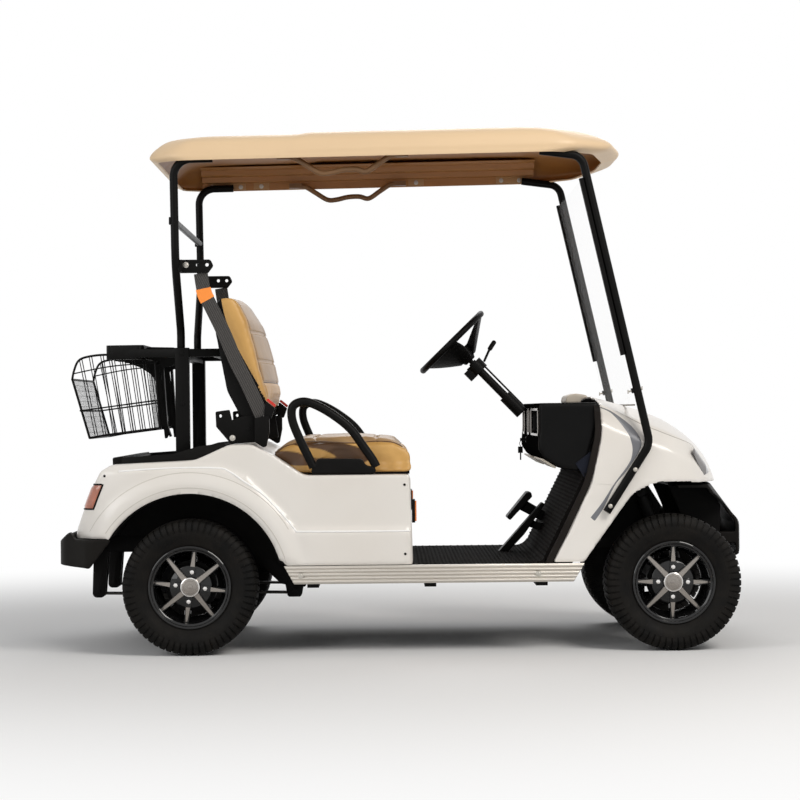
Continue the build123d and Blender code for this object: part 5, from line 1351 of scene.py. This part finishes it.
def make_back():
    """Backrest cushion: crowned beige front panel with sewn channels, gold sides and lower roll."""
    block = Build()
    block.prism(at_rear(BACK_SIDE), -BACK_HALF, BACK_HALF)
    back = loose(block, "backrest_cushion_filled")
    remould(back, 9 * MM, 5)
    inflate(back, 8 * MM, lambda spots: step_up(spots[:, 0] - line_at(BACK_REAR, spots[:, 2]), 0.004, 0.03))
    fit_box(back, (RX + 0.094, -BACK_HALF - 4 * MM, 0.841), (RX + 0.267, BACK_HALF + 4 * MM, 1.221))
    finer(back)
    move_points(back, back_crown)
    move_points(back, back_rules)
    lighten(back, 0.75)
    dress(back, "seat_leather", "chassis", ("backrest_cushion",), 60)
    paint(back, BEIGE_VINYL, lambda c, n: ((np.abs(c[:, 1]) < BACK_PANEL_Y) & (c[:, 2] > BACK_ROLL_Z)
                                           & ((n[:, 0] > -0.2) | (c[:, 2] > 1.2))))
    edge_line = [(z, x) for x, z in BACK_EDGE]
    paint(back, FINISH["black_plastic"],
          lambda c, n: (c[:, 0] < line_at(edge_line, c[:, 2])) & (np.abs(c[:, 1]) > 0.455))
    tree = tree_of(back)
    piping, threads = Build(), Build()

    def front_line(face):
        """Points of the cushion's front behind (y, z) places."""
        found = [tree.ray_cast(Vector((RX + 0.6, y, z)), Vector((-1, 0, 0)))[0] for y, z in face]
        return [spot for spot in found if spot]

    for side in SIDES:
        piping.tube(front_line((side * BACK_PANEL_Y, z) for z in np.linspace(0.852, 1.212, 50)), 2.4 * MM, 6)
        threads.tube(front_line((side * 8 * MM, z) for z in np.linspace(BACK_ROLL_Z, 1.2, 40)), 0.9 * MM, 5)
    piping.tube(front_line((y, BACK_ROLL_Z) for y in np.linspace(-0.432, 0.432, 50)), 2.0 * MM, 6)
    for at in BACK_CHANNELS_Z:
        for offset in (-7 * MM, 7 * MM):
            threads.tube(front_line((y, at + offset) for y in np.linspace(-0.43, 0.43, 60)), 0.9 * MM, 5)
    edges = Build()
    for side in SIDES:
        edges.tube(pipe_spots(tree, BACK_EDGE[1:-1], side, 0.3 * MM), 3.5 * MM, 8)
    put(edges, "backrest_edge", "seat_leather", material=FINISH["black_plastic"])
    put(piping, "backrest_piping", "seat_leather", material=BROWN_VINYL)
    put(threads, "backrest_threads", "seat_leather", material=THREAD)


make_seat()
make_back()


# ---------------------------------------------------------------- belts
BELT_Y = 498 * MM
BELT_WIDTH = 48 * MM
BELT_PATH = [(44, 1305), (55, 1240), (75, 1197), (121, 1100), (160, 1005), (202, 920), (249, 813)]
TAG_Z = (1213 * MM, 1258 * MM)


def strap_rows(path, width, y, low=-9.0, high=9.0):
    """Rows across a flat strap whose middle follows a path in the plane y, between two heights."""
    rows, length = [], 0.0
    for k, point in enumerate(path):
        along = (path[min(k + 1, len(path) - 1)] - path[max(k - 1, 0)]).normalized()
        across = Vector((-along.z, 0, along.x))
        if not low <= point.z <= high:
            continue
        if rows:
            length += (point - last).length
        last = point
        rows.append([point + across * width * share + Vector((0, y, 0))
                     for share in (-0.5, -0.25, 0, 0.25, 0.5)])
    return rows, length


def belt_sway(spots, shift=0.0):
    """Slight sideways sway of a belt along its height, with a shift."""
    sway = 2.5 * MM * np.sin((spots[:, 2] - 0.81) * 2 * math.pi / 0.5)
    return spots + np.array([0, shift, 0]) + np.stack([sway * 0, sway, sway * 0], axis=1)


def make_belts():
    """Flat webbing from each post's anchor down to its retractor, with an orange tag."""
    path = curve_through([(RX + x * MM, 0, z * MM) for x, z in BELT_PATH], 10)
    for side, hand in HANDS:
        rows, length = strap_rows(path, BELT_WIDTH, side * BELT_Y)
        strap = Build()
        strap.grid(rows)
        obj = loose(strap, f"belt_strap_{hand}")
        move_points(obj, belt_sway)
        thicken(obj, 1.3 * MM)
        dress(obj, "belt_webbing", "chassis", ("seat_belts",) if side > 0 else (), 40)
        tag = Build()
        rows, _ = strap_rows(path, BELT_WIDTH + 4 * MM, side * BELT_Y, *TAG_Z)
        tag.grid(rows)
        sleeve = loose(tag, f"belt_tag_{hand}")
        move_points(sleeve, lambda spots: belt_sway(spots, 1.9 * MM))
        modify(sleeve, "SOLIDIFY", thickness=5 * MM, offset=0)
        settle(sleeve)
        dress(sleeve, "belt_webbing", material=ORANGE_TAG)


make_belts()


# ---------------------------------------------------------------- hip restraints
HIP_Y = 534 * MM
HIP_PATH = [(425, 636), (408, 672), (378, 735), (354, 800), (357, 845), (391, 861), (435, 849), (495, 814),
            (553, 766), (598, 703), (625, 664), (640, 636)]


# x from the rear axle, z, corner radius, in millimetres
HIP_BASE = [(420, 640, 10), (416, 614, 8), (634, 611, 8), (645, 634, 14), (604, 642, 10), (592, 664, 12),
            (439, 667, 12), (430, 648, 8)]


def make_hips():
    """Padded loop beside each end of the seat, on a black base."""
    for side, hand in HANDS:
        loop = Build()
        path = curve_through([(RX + x * MM, side * HIP_Y, z * MM) for x, z in HIP_PATH], 8)
        loop.tube(path, 15 * MM, 16)
        obj = put(loop, f"hip_loop_{hand}", "restraint_foam", "seat_lid",
                  ("hip_restraints",) if side > 0 else ())
        base = Build()
        base.prism(at_rear(HIP_BASE), side * HIP_Y - 12 * MM, side * HIP_Y + 12 * MM)
        obj = loose(base, f"hip_base_{hand}")
        remould(obj, 4 * MM, 4)
        dress(obj, "restraint_foam", "seat_lid")
        arm = Build()
        arm.box((RX + 0.480, min(side * 0.4905, side * HIP_Y), 0.602),
                (RX + 0.600, max(side * 0.4905, side * HIP_Y), 0.616), 2 * MM)
        put(arm, f"hip_arm_{hand}", "black_steel", "seat_lid")


make_hips()


# ---------------------------------------------------------------- basket
BASKET_HALF = 300 * MM
WIRE_RIM = 4 * MM
WIRE = 2.3 * MM
MESH_WIRE = 0.6 * MM
# stations along the basket's side: top x and z, bottom x and z, in millimetres
HAIRPINS = [(-397, 1020, -343, 744), (-362, 1026, -314, 748), (-322, 1032, -281, 756), (-285, 1033, -246, 763),
            (-248, 1028, -210, 766), (-211, 1022, -176, 769), (-174, 1015, -142, 771)]


# x from the rear axle and z, in millimetres, of the rim and of the floor
BASKET_RIM = [(-134, 1006), (-174, 1015), (-230, 1026), (-305, 1034), (-370, 1028), (-404, 1014), (-420, 980),
              (-427, 948)]
BASKET_FLOOR = [(-120, 775), (-311, 752), (-368, 742)]


def make_basket():
    """Wire basket: rim, hoops and hairpins, with fine mesh on its rear, floor and front."""
    wires, fine = Build(), Build()

    def spots(rows, y):
        return [Vector((RX + x * MM, y, z * MM)) for x, z in rows]

    def across(x, z, radius):
        """Wire from side to side, at a station and height in millimetres."""
        fine.tube([spots([(x, z)], -BASKET_HALF)[0], spots([(x, z)], BASKET_HALF)[0]], radius, 5)

    near = curve_through(spots(BASKET_RIM, -BASKET_HALF), 5)
    far = curve_through(spots(BASKET_RIM, BASKET_HALF), 5)
    wires.tube(near + list(reversed(far)), WIRE_RIM, 8, closed=True)
    for rows, radius in ((BASKET_FLOOR, WIRE_RIM), ([(-140, 871), (-329, 847), (-400, 838)], WIRE * 1.2)):
        ring = spots(rows, -BASKET_HALF) + list(reversed(spots(rows, BASKET_HALF)))
        wires.tube(ring, radius, 8, closed=True)
    for side in SIDES:
        y = side * BASKET_HALF
        wires.tube(curve_through(spots([(-420, 969), (-330, 987), (-250, 997), (-136, 1003)], y), 5), WIRE, 6)
        for xt, zt, xb, zb in HAIRPINS:
            for offset in (-4.5, 4.5):
                wires.tube(spots([(xt + offset, zt), (xb + offset, zb)], y), WIRE * 0.8, 6)
        wires.tube(spots([(-134, 1006), (-120, 775)], y), WIRE_RIM, 8)
        wires.tube(spots([(-426, 946), (-368, 742)], y), WIRE_RIM, 8)
    panels = [((-426, 946), (-368, 742)), ((-162, 1000), (-142, 772))]
    for top, low in panels:
        for y in np.arange(-BASKET_HALF + 0.018, BASKET_HALF, 0.018):
            fine.tube(spots([top, low], y), MESH_WIRE, 5)
        rows = int((top[1] - low[1]) / 18)
        for k in range(1, rows):
            share = k / rows
            across(top[0] + (low[0] - top[0]) * share, top[1] + (low[1] - top[1]) * share, MESH_WIRE)
    for y in np.arange(-BASKET_HALF + 0.03, BASKET_HALF - 0.01, 0.03):
        fine.tube([Vector((RX - 0.367, y, 0.743)), Vector((RX - 0.311, y, 0.752)),
                   Vector((RX - 0.121, y, 0.775))], MESH_WIRE * 1.3, 5)
    for x in np.arange(-345, -125, 30):
        across(x, line_at(BASKET_FLOOR, x), MESH_WIRE * 1.3)
    put(wires, "basket_wires", "basket_wire", replaces=("basket",))
    put(fine, "basket_mesh", "basket_wire")


make_basket()

# side plate of each bag holder's bracket: x from the rear axle, z, corner radius, in millimetres
GUSSET = [(-296, 1066, 6), (-296, 1018, 6), (-246, 1008, 20), (-194, 988, 30), (-160, 965, 20), (-143, 940, 10),
          (-140, 872, 0), (-132, 778, 0), (-116, 768, 4), (-112, 730, 3), (-97, 757, 6), (-113, 843, 20),
          (-131, 985, 12), (-75, 998, 4), (-75, 1060, 4)]


def holder_gussets():
    """Curved side plates that carry the bag holders and the basket."""
    plates = Build()
    for side in SIDES:
        for edge in (-22 * MM, 22 * MM):
            y = side * 180 * MM + edge
            plates.prism(at_rear(GUSSET), y - 1.5 * MM, y + 1.5 * MM)
    put(plates, "bag_holder_gussets", "rack_paint")


holder_gussets()



# ---------------------------------------------------------------- mat, arch aprons of painted shade
BAR_FACES = [(0, 1, 2, 3), (4, 5, 6, 7), (0, 1, 5, 4), (1, 2, 6, 5), (2, 3, 7, 6), (3, 0, 4, 7)]


def ribbed_mat():
    """Rows of small raised bars on the floor mat and up the toe board."""
    tree = tree_of(frame["nodes"]["floor_mat"])
    bars = Build()
    low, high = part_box("floor_mat")
    row = 0
    x = low.x + 0.02
    while x < high.x:
        spot, normal, _, _ = tree.ray_cast(Vector((x, 0.02, 0.9)), Vector((0, 0, -1)))
        if spot is None:
            x += 0.014
            continue
        shift = 0.018 if row % 2 else 0.0
        along = Vector((normal.z, 0, -normal.x)).normalized()
        for y in np.arange(-0.53 + shift, 0.53, 0.036):
            hit, facing, _, _ = tree.ray_cast(Vector((x, float(y), 0.9)), Vector((0, 0, -1)))
            if hit is None or facing.z < 0.2:
                continue
            a, b = hit - along * 3 * MM, hit + along * 3 * MM
            corners = []
            for shrink, lift in ((1, facing * -1 * MM), (0.92, facing * 2.2 * MM)):
                half = Vector((0, 0.0125, 0)) * shrink
                corners += [a - half + lift, a + half + lift, b + half + lift, b - half + lift]
            bars.add(corners, BAR_FACES)
        row += 1
        x += 0.0135 * max(normal.z, 0.3)
    put(bars, "floor_mat_bars", "mat_rubber")


# columns, in millimetres: x from the front axle, z, corner radius
ARCH_SHADE_APRONS = [[(-268, 372, 0), (-215, 470, 30), (-132, 526, 20), (-61, 565, 0), (-9, 483, 0), (-40, 372, 0)],
          [(14, 563, 0), (160, 563, 10), (200, 480, 20), (196, 372, 20), (90, 372, 0), (50, 480, 0)]]


def arch_shade_aprons():
    """Black sheets inside each front wheel arch: they stand for the dark frame, struts and panels there, and as
    painted shade for the shadow over them.
    """
    for side, hand in HANDS:
        apron = Build()
        for rows in ARCH_SHADE_APRONS:
            apron.prism(at_front(rows), side * 0.2685, side * 0.2705)
        put(apron, f"arch_shade_apron_{hand}", "liner_plastic")


ribbed_mat()
arch_shade_aprons()


# ---------------------------------------------------------------- eased hard parts
bumper = soften("front_bumper", 5 * MM)


def bow_back(spots):
    """Sweeps the upper corners of the front bumper back under the hood."""
    x, y, z = spots[:, 0].copy(), spots[:, 1], spots[:, 2]
    upper = step_up(z, 0.40, 0.46)
    x -= 42 * MM * np.clip(np.abs(y) / 0.43, 0, 1) ** 2.5 * upper * step_up(x, FX + 0.05, FX + 0.16)
    return np.stack([x, y, z], axis=1)


move_points(bumper, bow_back)
lighten(bumper, 0.6)
for name, voxel in (("steering_wheel", 3), ("accelerator_pedal", 2.5), ("brake_pedal", 2.5),
                    ("shift_lever", 2.5), ("instrument_pod", 4), ("knuckle_left", 4), ("knuckle_right", 4),
                    ("rear_bumper", 5), ("backrest_shell", 8)):
    soften(name, voxel * MM)
paint(soften("dash", 8 * MM), MATTE_BLACK, lambda c, n: (n[:, 0] < -0.4) & (np.abs(c[:, 1]) < 0.51))
for name in ("frame", "frame_rear", "frame_front", "backrest_brackets", "belt_anchors", "belt_retractors",
             "bag_rack", "seat_board", "bag_deck", "battery_pack", "drive_motor", "leaf_springs", "rear_posts",
             "front_posts", "sill_left", "sill_right"):
    ease(name)


# ---------------------------------------------------------------- rear body lines
# (x, z) from the rear axle, in millimetres
SIDE_CREASE = [(-236, 630), (-75, 639), (94, 638), (139, 626), (189, 592), (251, 548), (318, 478), (366, 419)]
SIDE_CREASE_END = [(366, 419), (560, 418), (752, 418)]
# the arch lip's lines are grey tubes in painted shade
LIP_RADII = (340, 392)                          # of the arch lip's inner and outer lines, from the axle
LIP_TURNS = range(14, 160, 4)                   # degrees along them, from the front
LIP_END = RX + 0.345                            # they stop short of this station


def body_lines():
    """Raised crease along each side of the rear body, paler as a painted highlight, and the rolled lip of its
    arch as grey lines of painted shade.
    """
    tree = tree_of(rear_skin)
    crease, lip = Build(), Build()
    for side in SIDES:
        # crease: a raised bead, paler than the body as a painted highlight
        for line in (SIDE_CREASE, SIDE_CREASE_END):
            crease.tube(side_line(tree, mm_line(line, RX), side, 0.4 * MM), 3.4 * MM, 8)
        # arch lip: grey tubes set into the skin, painted shade
        for radius in LIP_RADII:
            arc = []
            for turn in LIP_TURNS:
                x = RX + radius * math.cos(math.radians(turn)) * MM
                z = AXLE_Z + radius * math.sin(math.radians(turn)) * MM
                spot = cast_side(tree, x, z, side, -1.1 * MM) if x < LIP_END else None
                if spot is not None:
                    arc.append(spot)
            lip.tube(arc, 2.0 * MM, 8)
    put(crease, "rear_body_crease_painted_highlight", "body_white", material=CREASE_PAINTED_HIGHLIGHT)
    put(lip, "arch_lip_painted_shade_lines", "body_white", material=LIP_PAINTED_SHADE)


body_lines()


# x from the rear axle, z, corner radius, in millimetres
DECK_RIM = [(-271, 675, 6), (-236, 679, 0), (-228, 668, 0), (-228, 650, 0), (-270, 648, 4)]
DECK_RIM_HALF = 448 * MM


def deck_rim():
    """Black rim of the bag deck, over the tail of the rear body."""
    rim = Build()
    rim.prism(at_rear(DECK_RIM), -DECK_RIM_HALF, DECK_RIM_HALF)
    put(rim, "bag_deck_rim", "deck_plastic")


deck_rim()

# points: x from the bar's rear end and height over it there, in millimetres
HANDLE_LINE = [(0, -2), (22, -5), (62, -30), (106, -57), (140, -58), (185, -49), (230, -48), (266, -56),
               (308, -30), (348, -5), (370, -2)]
HANDLE_X = 350                                  # bar's rear end, from the rear axle, in millimetres
HANDLE_FEET = (334, 736)                        # middles of its feet, likewise
HANDLE_Z = 1.6994                               # of the bar at its rear end
HANDLE_TILT = 0.0140                            # rise per length towards the front, with the roof


def grab_handles():
    """Bent grab handles under the roof's side rails."""
    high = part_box("grab_handles")[1]
    handle = Build()
    for side in SIDES:
        middle_y = side * (high[1] - 14 * MM)
        points = [(RX + (HANDLE_X + x) * MM, middle_y, HANDLE_Z + x * MM * HANDLE_TILT + z * MM)
                  for x, z in HANDLE_LINE]
        handle.tube(curve_through(points, 6), 9.5 * MM, 14)
        for x in HANDLE_FEET:
            top = HANDLE_Z + (x - HANDLE_X) * MM * HANDLE_TILT + 8 * MM
            handle.box((RX + (x - 24) * MM, middle_y - 13 * MM, top - 18 * MM),
                       (RX + (x + 24) * MM, middle_y + 13 * MM, top))
    put(handle, "grab_handle_bars", "handle_brown", replaces=("grab_handles",))


grab_handles()

# ---------------------------------------------------------------- lamps, reflectors, trims and bolts
TAIL_LAMP_Z = (502 * MM, 586 * MM)
# station of the tail's own line, in millimetres from the rear axle, by height
TAIL_LINE = [(497, -365), (516, -351), (584, -316), (599, -312)]


def tail_lamps():
    """Wrapped tail lamp on each rear corner, in a black surround."""
    tree = tree_of(rear_skin)
    for side, hand in HANDS:
        rows = []
        for z in np.linspace(*TAIL_LAMP_Z, 9):
            tail = RX + float(line_at(TAIL_LINE, z / MM)) * MM
            row = []
            lean = (z - TAIL_LAMP_Z[0]) / (TAIL_LAMP_Z[1] - TAIL_LAMP_Z[0])
            front = RX + (-327 + 36 * lean) * MM
            corner = Vector((RX - 0.235, side * (SIDE - TAIL_R), float(z)))
            turns = [math.asin(min((corner.x - x) / TAIL_R, 1)) for x in (front, tail)]
            for turn in np.linspace(*turns, 6):
                out = Vector((-math.sin(turn), side * math.cos(turn), 0))
                row.append((corner + out * 0.5, -out))
            last = TAIL_R * (1 - math.cos(turns[1]))
            for inset in np.linspace(last + 0.012, 0.276 - 0.02 * lean, 12):
                row.append((Vector((RX - 0.9, side * (SIDE - float(inset)), float(z))), Vector((1, 0, 0))))
            rows.append(row)
        spots = []
        for k, row in enumerate(rows):
            line = []
            for j, (start, way) in enumerate(row):
                hit = tree.ray_cast(start, way)[0]
                rim = k in (0, len(rows) - 1) or j in (0, len(row) - 1)
                if hit is None:
                    hit = line[-1] if line else start + way * 0.4
                line.append(hit - way * ((0.5 if rim else 5.0) * MM))
            spots.append(line)
        lens = Build()
        lens.grid(spots)
        put(lens, f"tail_lamp_{hand}", "tail_lens", replaces=("tail_lamps",) if side > 0 else ())
        edge = (spots[0] + [line[-1] for line in spots[1:]] + spots[-1][-2::-1]
                + [line[0] for line in spots[-2:0:-1]])
        surround = Build()
        surround.tube(edge, 3.2 * MM, 8, closed=True)
        put(surround, f"tail_lamp_{hand}_surround", "tail_lens", material=FINISH["black_plastic"])


def reflectors():
    """Small black-cased reflector on each side of the seat's front panel."""
    cases, lenses = Build(), Build()
    x = RX + 0.7615
    for side in SIDES:
        y = side * (SIDE - 0.060)
        cases.box((x - 2 * MM, y - 0.020, 0.444), (x + 9 * MM, y + 0.020, 0.524), 2 * MM)
        lenses.box((x + 8 * MM, y - 0.016, 0.449), (x + 14 * MM, y + 0.016, 0.519), 2.5 * MM)
    put(cases, "reflector_cases", "black_plastic", replaces=("reflectors",))
    put(lenses, "reflector_lenses", "reflector_orange")


# columns: x from the front axle, height and radius, in millimetres
POST_BOLTS = [(-129, 618, 8), (-216, 495, 8)]
SILL_BOLTS = [RX + 0.379, RX + 1.187]


def small_metal():
    """Bolts on posts, sills, brackets and anchors, and the windshield's wing clamps."""
    zinc, black = Build(), Build()
    sill, posts, brackets, anchors, rack = (tree_of(frame["nodes"][name]) for name in (
        "sill_right", "front_posts", "backrest_brackets", "belt_anchors", "bag_rack"))
    body = tree_of(rear_skin)
    for side in SIDES:
        out = (0, side, 0)

        def head(tree, x, z, radius, target, hexagon=False):
            met = -1 if tree is sill else side       # the left sill's bolts mirror the right one's
            spot = cast_side(tree, x, z, met)
            if spot is not None:
                spot.y *= side * met
                target.bolt(spot, out, radius, radius * 0.6, hexagon)

        for x in SILL_BOLTS:
            head(sill, x, 0.268, 7 * MM, zinc, True)
        for x, z, radius in POST_BOLTS:
            head(posts, FX + x * MM, z * MM, radius * MM, zinc)
        head(brackets, RX + 0.146, 0.739, 7 * MM, zinc, True)
        head(brackets, RX + 0.200, 0.770, 7 * MM, black, True)
        head(anchors, RX - 0.006, 1.334, 7 * MM, zinc, True)
        for z in (0.86, 1.035):
            head(rack, RX - 0.034, z, 7 * MM, black, True)
        for x, z in ((-0.285, 0.615), (0.735, 0.575), (0.735, 0.34)):
            head(body, RX + x, z, 4.5 * MM, black)
        # wing clamp that holds the windshield's foot to its post
        foot = Vector((FX - 0.125, side * 0.540, 0.889))
        place = look_along(foot, (1, 0, 0.25))
        black.lathe([(9 * MM, -13 * MM), (9 * MM, 13 * MM)], place, 14, True)
        zinc.lathe([(3 * MM, -24 * MM), (3 * MM, 24 * MM)], place, 10, True)
        for end in (-1, 1):
            tip = foot + Vector((end * 0.024, 0, end * 0.006))
            zinc.slab(tip, (2, 2, 7), 1 * MM)
    put(zinc, "bolt_heads", "black_steel", material=ZINC)
    put(black, "black_bolt_heads", "black_steel")


def cross_bar():
    """Clamps at the ends of the bar between the rear posts."""
    clamps = Build()
    for side in SIDES:
        at = Vector((RX - 0.046, side * 0.545, 1.482))
        clamps.slab(at, (13, 9, 13), 3 * MM)
        clamps.bolt(at + Vector((0, side * 9, 0)) * MM, (0, side, 0), 6 * MM, 4 * MM, True)
    put(clamps, "cross_bar_clamps", "black_steel")


NAVY_PANEL = [(-329, 640, 0), (-266, 689, 0), (-269, 648, 20), (-299, 591, 0)]
DASH_LIP = [(-452, 664, 3), (-444, 652, 3), (-390, 618, 3), (-396, 630, 3)]
DASH_BINS = [(-440, -60), (60, 150), (350, 440)]


def dash_trims():
    """Navy side panels, pale lip and bin frames of the dash, with the key in its switch."""
    navy, lip, frames, key = Build(), Build(), Build(), Build()
    for side in SIDES:
        navy.prism(at_front(NAVY_PANEL), side * 0.519, side * 0.5215)
        lip.prism(at_front(DASH_LIP), side * 0.10, side * 0.50)
    x = FX - 0.4535
    for low, high in DASH_BINS:
        y0, y1 = low * MM, high * MM
        for a, b in (((y0 - 0.008, 0.734), (y1 + 0.008, 0.742)), ((y0 - 0.008, 0.822), (y1 + 0.008, 0.830)),
                     ((y0 - 0.008, 0.734), (y0, 0.830)), ((y1, 0.734), (y1 + 0.008, 0.830))):
            frames.box((x, a[0], a[1]), (x + 6 * MM, b[0], b[1]), 1 * MM)
    switch = Vector((FX - 0.455, 0.175, 0.715))
    barrel = [(11 * MM, -8 * MM), (11 * MM, 2 * MM), (8 * MM, 4 * MM)]
    key.lathe(barrel, look_along(switch, (-1, 0, 0)), 18, True)
    key.box(switch + Vector((-24, -1.2, -6)) * MM, switch + Vector((-2, 1.2, 6)) * MM, 0.8 * MM)
    key.tube(curve_through([switch + Vector((-20, 0, -4)) * MM, switch + Vector((-26, 0, -14)) * MM,
                            switch + Vector((-22, 0, -26)) * MM]), 1.2 * MM, 6)
    key.box(switch + Vector((-32, -3, -50)) * MM, switch + Vector((-14, 3, -26)) * MM, 2 * MM)
    key.box(switch + Vector((-25, -1, -76)) * MM, switch + Vector((-20, 1, -50)) * MM, 0.6 * MM)
    put(navy, "dash_side_panels", "dash_plastic", material=NAVY)
    put(lip, "dash_lip", "dash_plastic", material=FINISH["pod_plastic"])
    put(frames, "dash_bin_frames", "dash_plastic", material=SILVER)
    put(key, "ignition_key", "black_plastic")


def glass_edge():
    """Rounded lower edge of the windshield, over the hood."""
    low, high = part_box("windshield")
    edge = Build()
    path = [(high.x - 3 * MM, float(y), low.z + 4 * MM) for y in np.linspace(low.y + 0.01, high.y - 0.01, 24)]
    edge.tube(path, 3 * MM, 8)
    put(edge, "windshield_edge", "windshield_acrylic", material=SEAM_DARK)


def steering_pads():
    """Broad moulded spokes of the deep-dished steering wheel."""
    hub = Vector((FX - 0.726, 0.250, 1.081))
    rake = math.radians(46)
    place = look_along(hub, (-math.cos(rake), 0, math.sin(rake)))
    pads = Build()
    for start in (90, 210, 330):
        rows = []
        for k in range(13):
            share = k / 12
            radius = 0.034 + 0.112 * share
            height = -0.086 + 0.080 * share
            half = math.radians(52 - 20 * share)
            rows.append([place @ Vector((radius * math.cos(math.radians(start) + half * t),
                                         radius * math.sin(math.radians(start) + half * t), height))
                         for t in np.linspace(-1, 1, 13)])
        pads.grid(rows)
    obj = loose(pads, "steering_spokes")
    modify(obj, "SOLIDIFY", thickness=7 * MM, offset=0)
    modify(obj, "BEVEL", width=2.5 * MM, segments=2, limit_method="ANGLE")
    settle(obj)
    dress(obj, "wheel_plastic", "steering_wheel_body", degrees=50)


BUCKLE_BODY = [(262, 866, 4), (294, 840, 4), (280, 802, 6), (256, 812, 6)]
BUCKLE_BUTTON = [(270, 874, 2), (298, 851, 2), (293, 843, 2), (264, 867, 2)]


def buckles():
    """Belt buckle with a red button beside each end of the backrest."""
    cases, buttons = Build(), Build()
    for side in SIDES:
        cases.prism(at_rear(BUCKLE_BODY), side * 0.484, side * 0.503)
        buttons.prism(at_rear(BUCKLE_BUTTON), side * 0.487, side * 0.500)
    put(cases, "belt_buckles", "black_plastic")
    put(buttons, "belt_buckle_buttons", "black_plastic", material=RED_BUTTON)


tail_lamps()
reflectors()
small_metal()
cross_bar()
dash_trims()
glass_edge()
steering_pads()
buckles()


# ---------------------------------------------------------------- floor, light and camera
def seen_rays(tree):
    """Socket that is 1 for camera rays, glossy rays and transmitted rays."""
    rays = node(tree, "ShaderNodeLightPath")
    seen = rays.outputs["Is Camera Ray"]
    for kind in ("Is Glossy Ray", "Is Transmission Ray"):
        either = node(tree, "ShaderNodeMath", operation="MAXIMUM")
        tree.links.new(seen, either.inputs[0])
        tree.links.new(rays.outputs[kind], either.inputs[1])
        seen = either.outputs[0]
    return seen


def stage_floor():
    """Pale studio floor that fades to white away from the cart."""
    bpy.ops.mesh.primitive_circle_add(vertices=96, radius=60, fill_type="NGON", location=(0, 0, -0.0005))
    floor = bpy.context.object
    floor.name = "studio_floor"
    material, tree, main = shader("studio_floor", (0.86, 0.86, 0.86), 0.9, Specular_IOR_Level=0.1)
    where = node(tree, "ShaderNodeTexCoord")
    length = node(tree, "ShaderNodeVectorMath", operation="LENGTH")
    tree.links.new(where.outputs["Object"], length.inputs[0])
    fade = node(tree, "ShaderNodeMapRange", {"From Min": 1.6, "From Max": 4.5}, interpolation_type="SMOOTHSTEP")
    tree.links.new(length.outputs["Value"], fade.inputs["Value"])
    glow = node(tree, "ShaderNodeEmission", {"Color": (1, 1, 1, 1), "Strength": 1.0})
    share = node(tree, "ShaderNodeMath", operation="MULTIPLY")
    tree.links.new(fade.outputs["Result"], share.inputs[0])
    tree.links.new(seen_rays(tree), share.inputs[1])
    mix = node(tree, "ShaderNodeMixShader")
    tree.links.new(share.outputs[0], mix.inputs["Fac"])
    tree.links.new(main.outputs["BSDF"], mix.inputs[1])
    tree.links.new(glow.outputs["Emission"], mix.inputs[2])
    tree.links.new(mix.outputs["Shader"], tree.nodes["Material Output"].inputs["Surface"])
    floor.data.materials.append(material)


def stage_world(ambient):
    """White surroundings for the camera and reflections, and a soft even light for the rest."""
    world = bpy.data.worlds.new("studio")
    bpy.context.scene.world = world
    world.use_nodes = True
    tree = world.node_tree
    back = tree.nodes["Background"]
    back.inputs["Color"].default_value = (1, 1, 1, 1)
    level = node(tree, "ShaderNodeMapRange", {"To Min": ambient, "To Max": 1.0})
    tree.links.new(seen_rays(tree), level.inputs["Value"])
    tree.links.new(level.outputs["Result"], back.inputs["Strength"])


def area_lamp(name, at, aim, size, power, color=(1, 1, 1)):
    """Square soft lamp that faces a point."""
    lamp = bpy.data.lights.new(name, "AREA")
    lamp.shape = "SQUARE"
    lamp.size = size
    lamp.energy = power
    lamp.color = color
    obj = bpy.data.objects.new(name, lamp)
    bpy.context.scene.collection.objects.link(obj)
    obj.matrix_world = look_along(at, Vector(at) - Vector(aim))
    return obj


stage_floor()
stage_world(0.34)
area_lamp("key", (3.2, -4.2, 4.6), (0, 0, 0.8), 2.6, 210, (1.0, 0.965, 0.92))
area_lamp("fill", (-4.0, -3.6, 2.6), (0, 0, 0.7), 3.0, 70)
area_lamp("back", (0.5, 4.5, 4.0), (0, 0, 0.9), 3.0, 65)

LENS_MM = 106.29
camera_data = bpy.data.cameras.new("camera")
camera_data.lens = LENS_MM
camera_data.sensor_width = 36
camera_data.shift_x = 0.01625
camera_data.shift_y = 0.0125
camera = bpy.data.objects.new("camera", camera_data)
bpy.context.scene.collection.objects.link(camera)
CAMERA_AT = Vector((-0.0635, -8.6, 0.8296))
CAMERA_ROLL = math.radians(-0.6)
camera.matrix_world = (Matrix.Translation(CAMERA_AT) @ Matrix.Rotation(math.pi / 2, 4, "X")
                       @ Matrix.Rotation(CAMERA_ROLL, 4, "Z"))
bpy.context.scene.camera = camera
bpy.context.scene.view_settings.view_transform = "Standard"
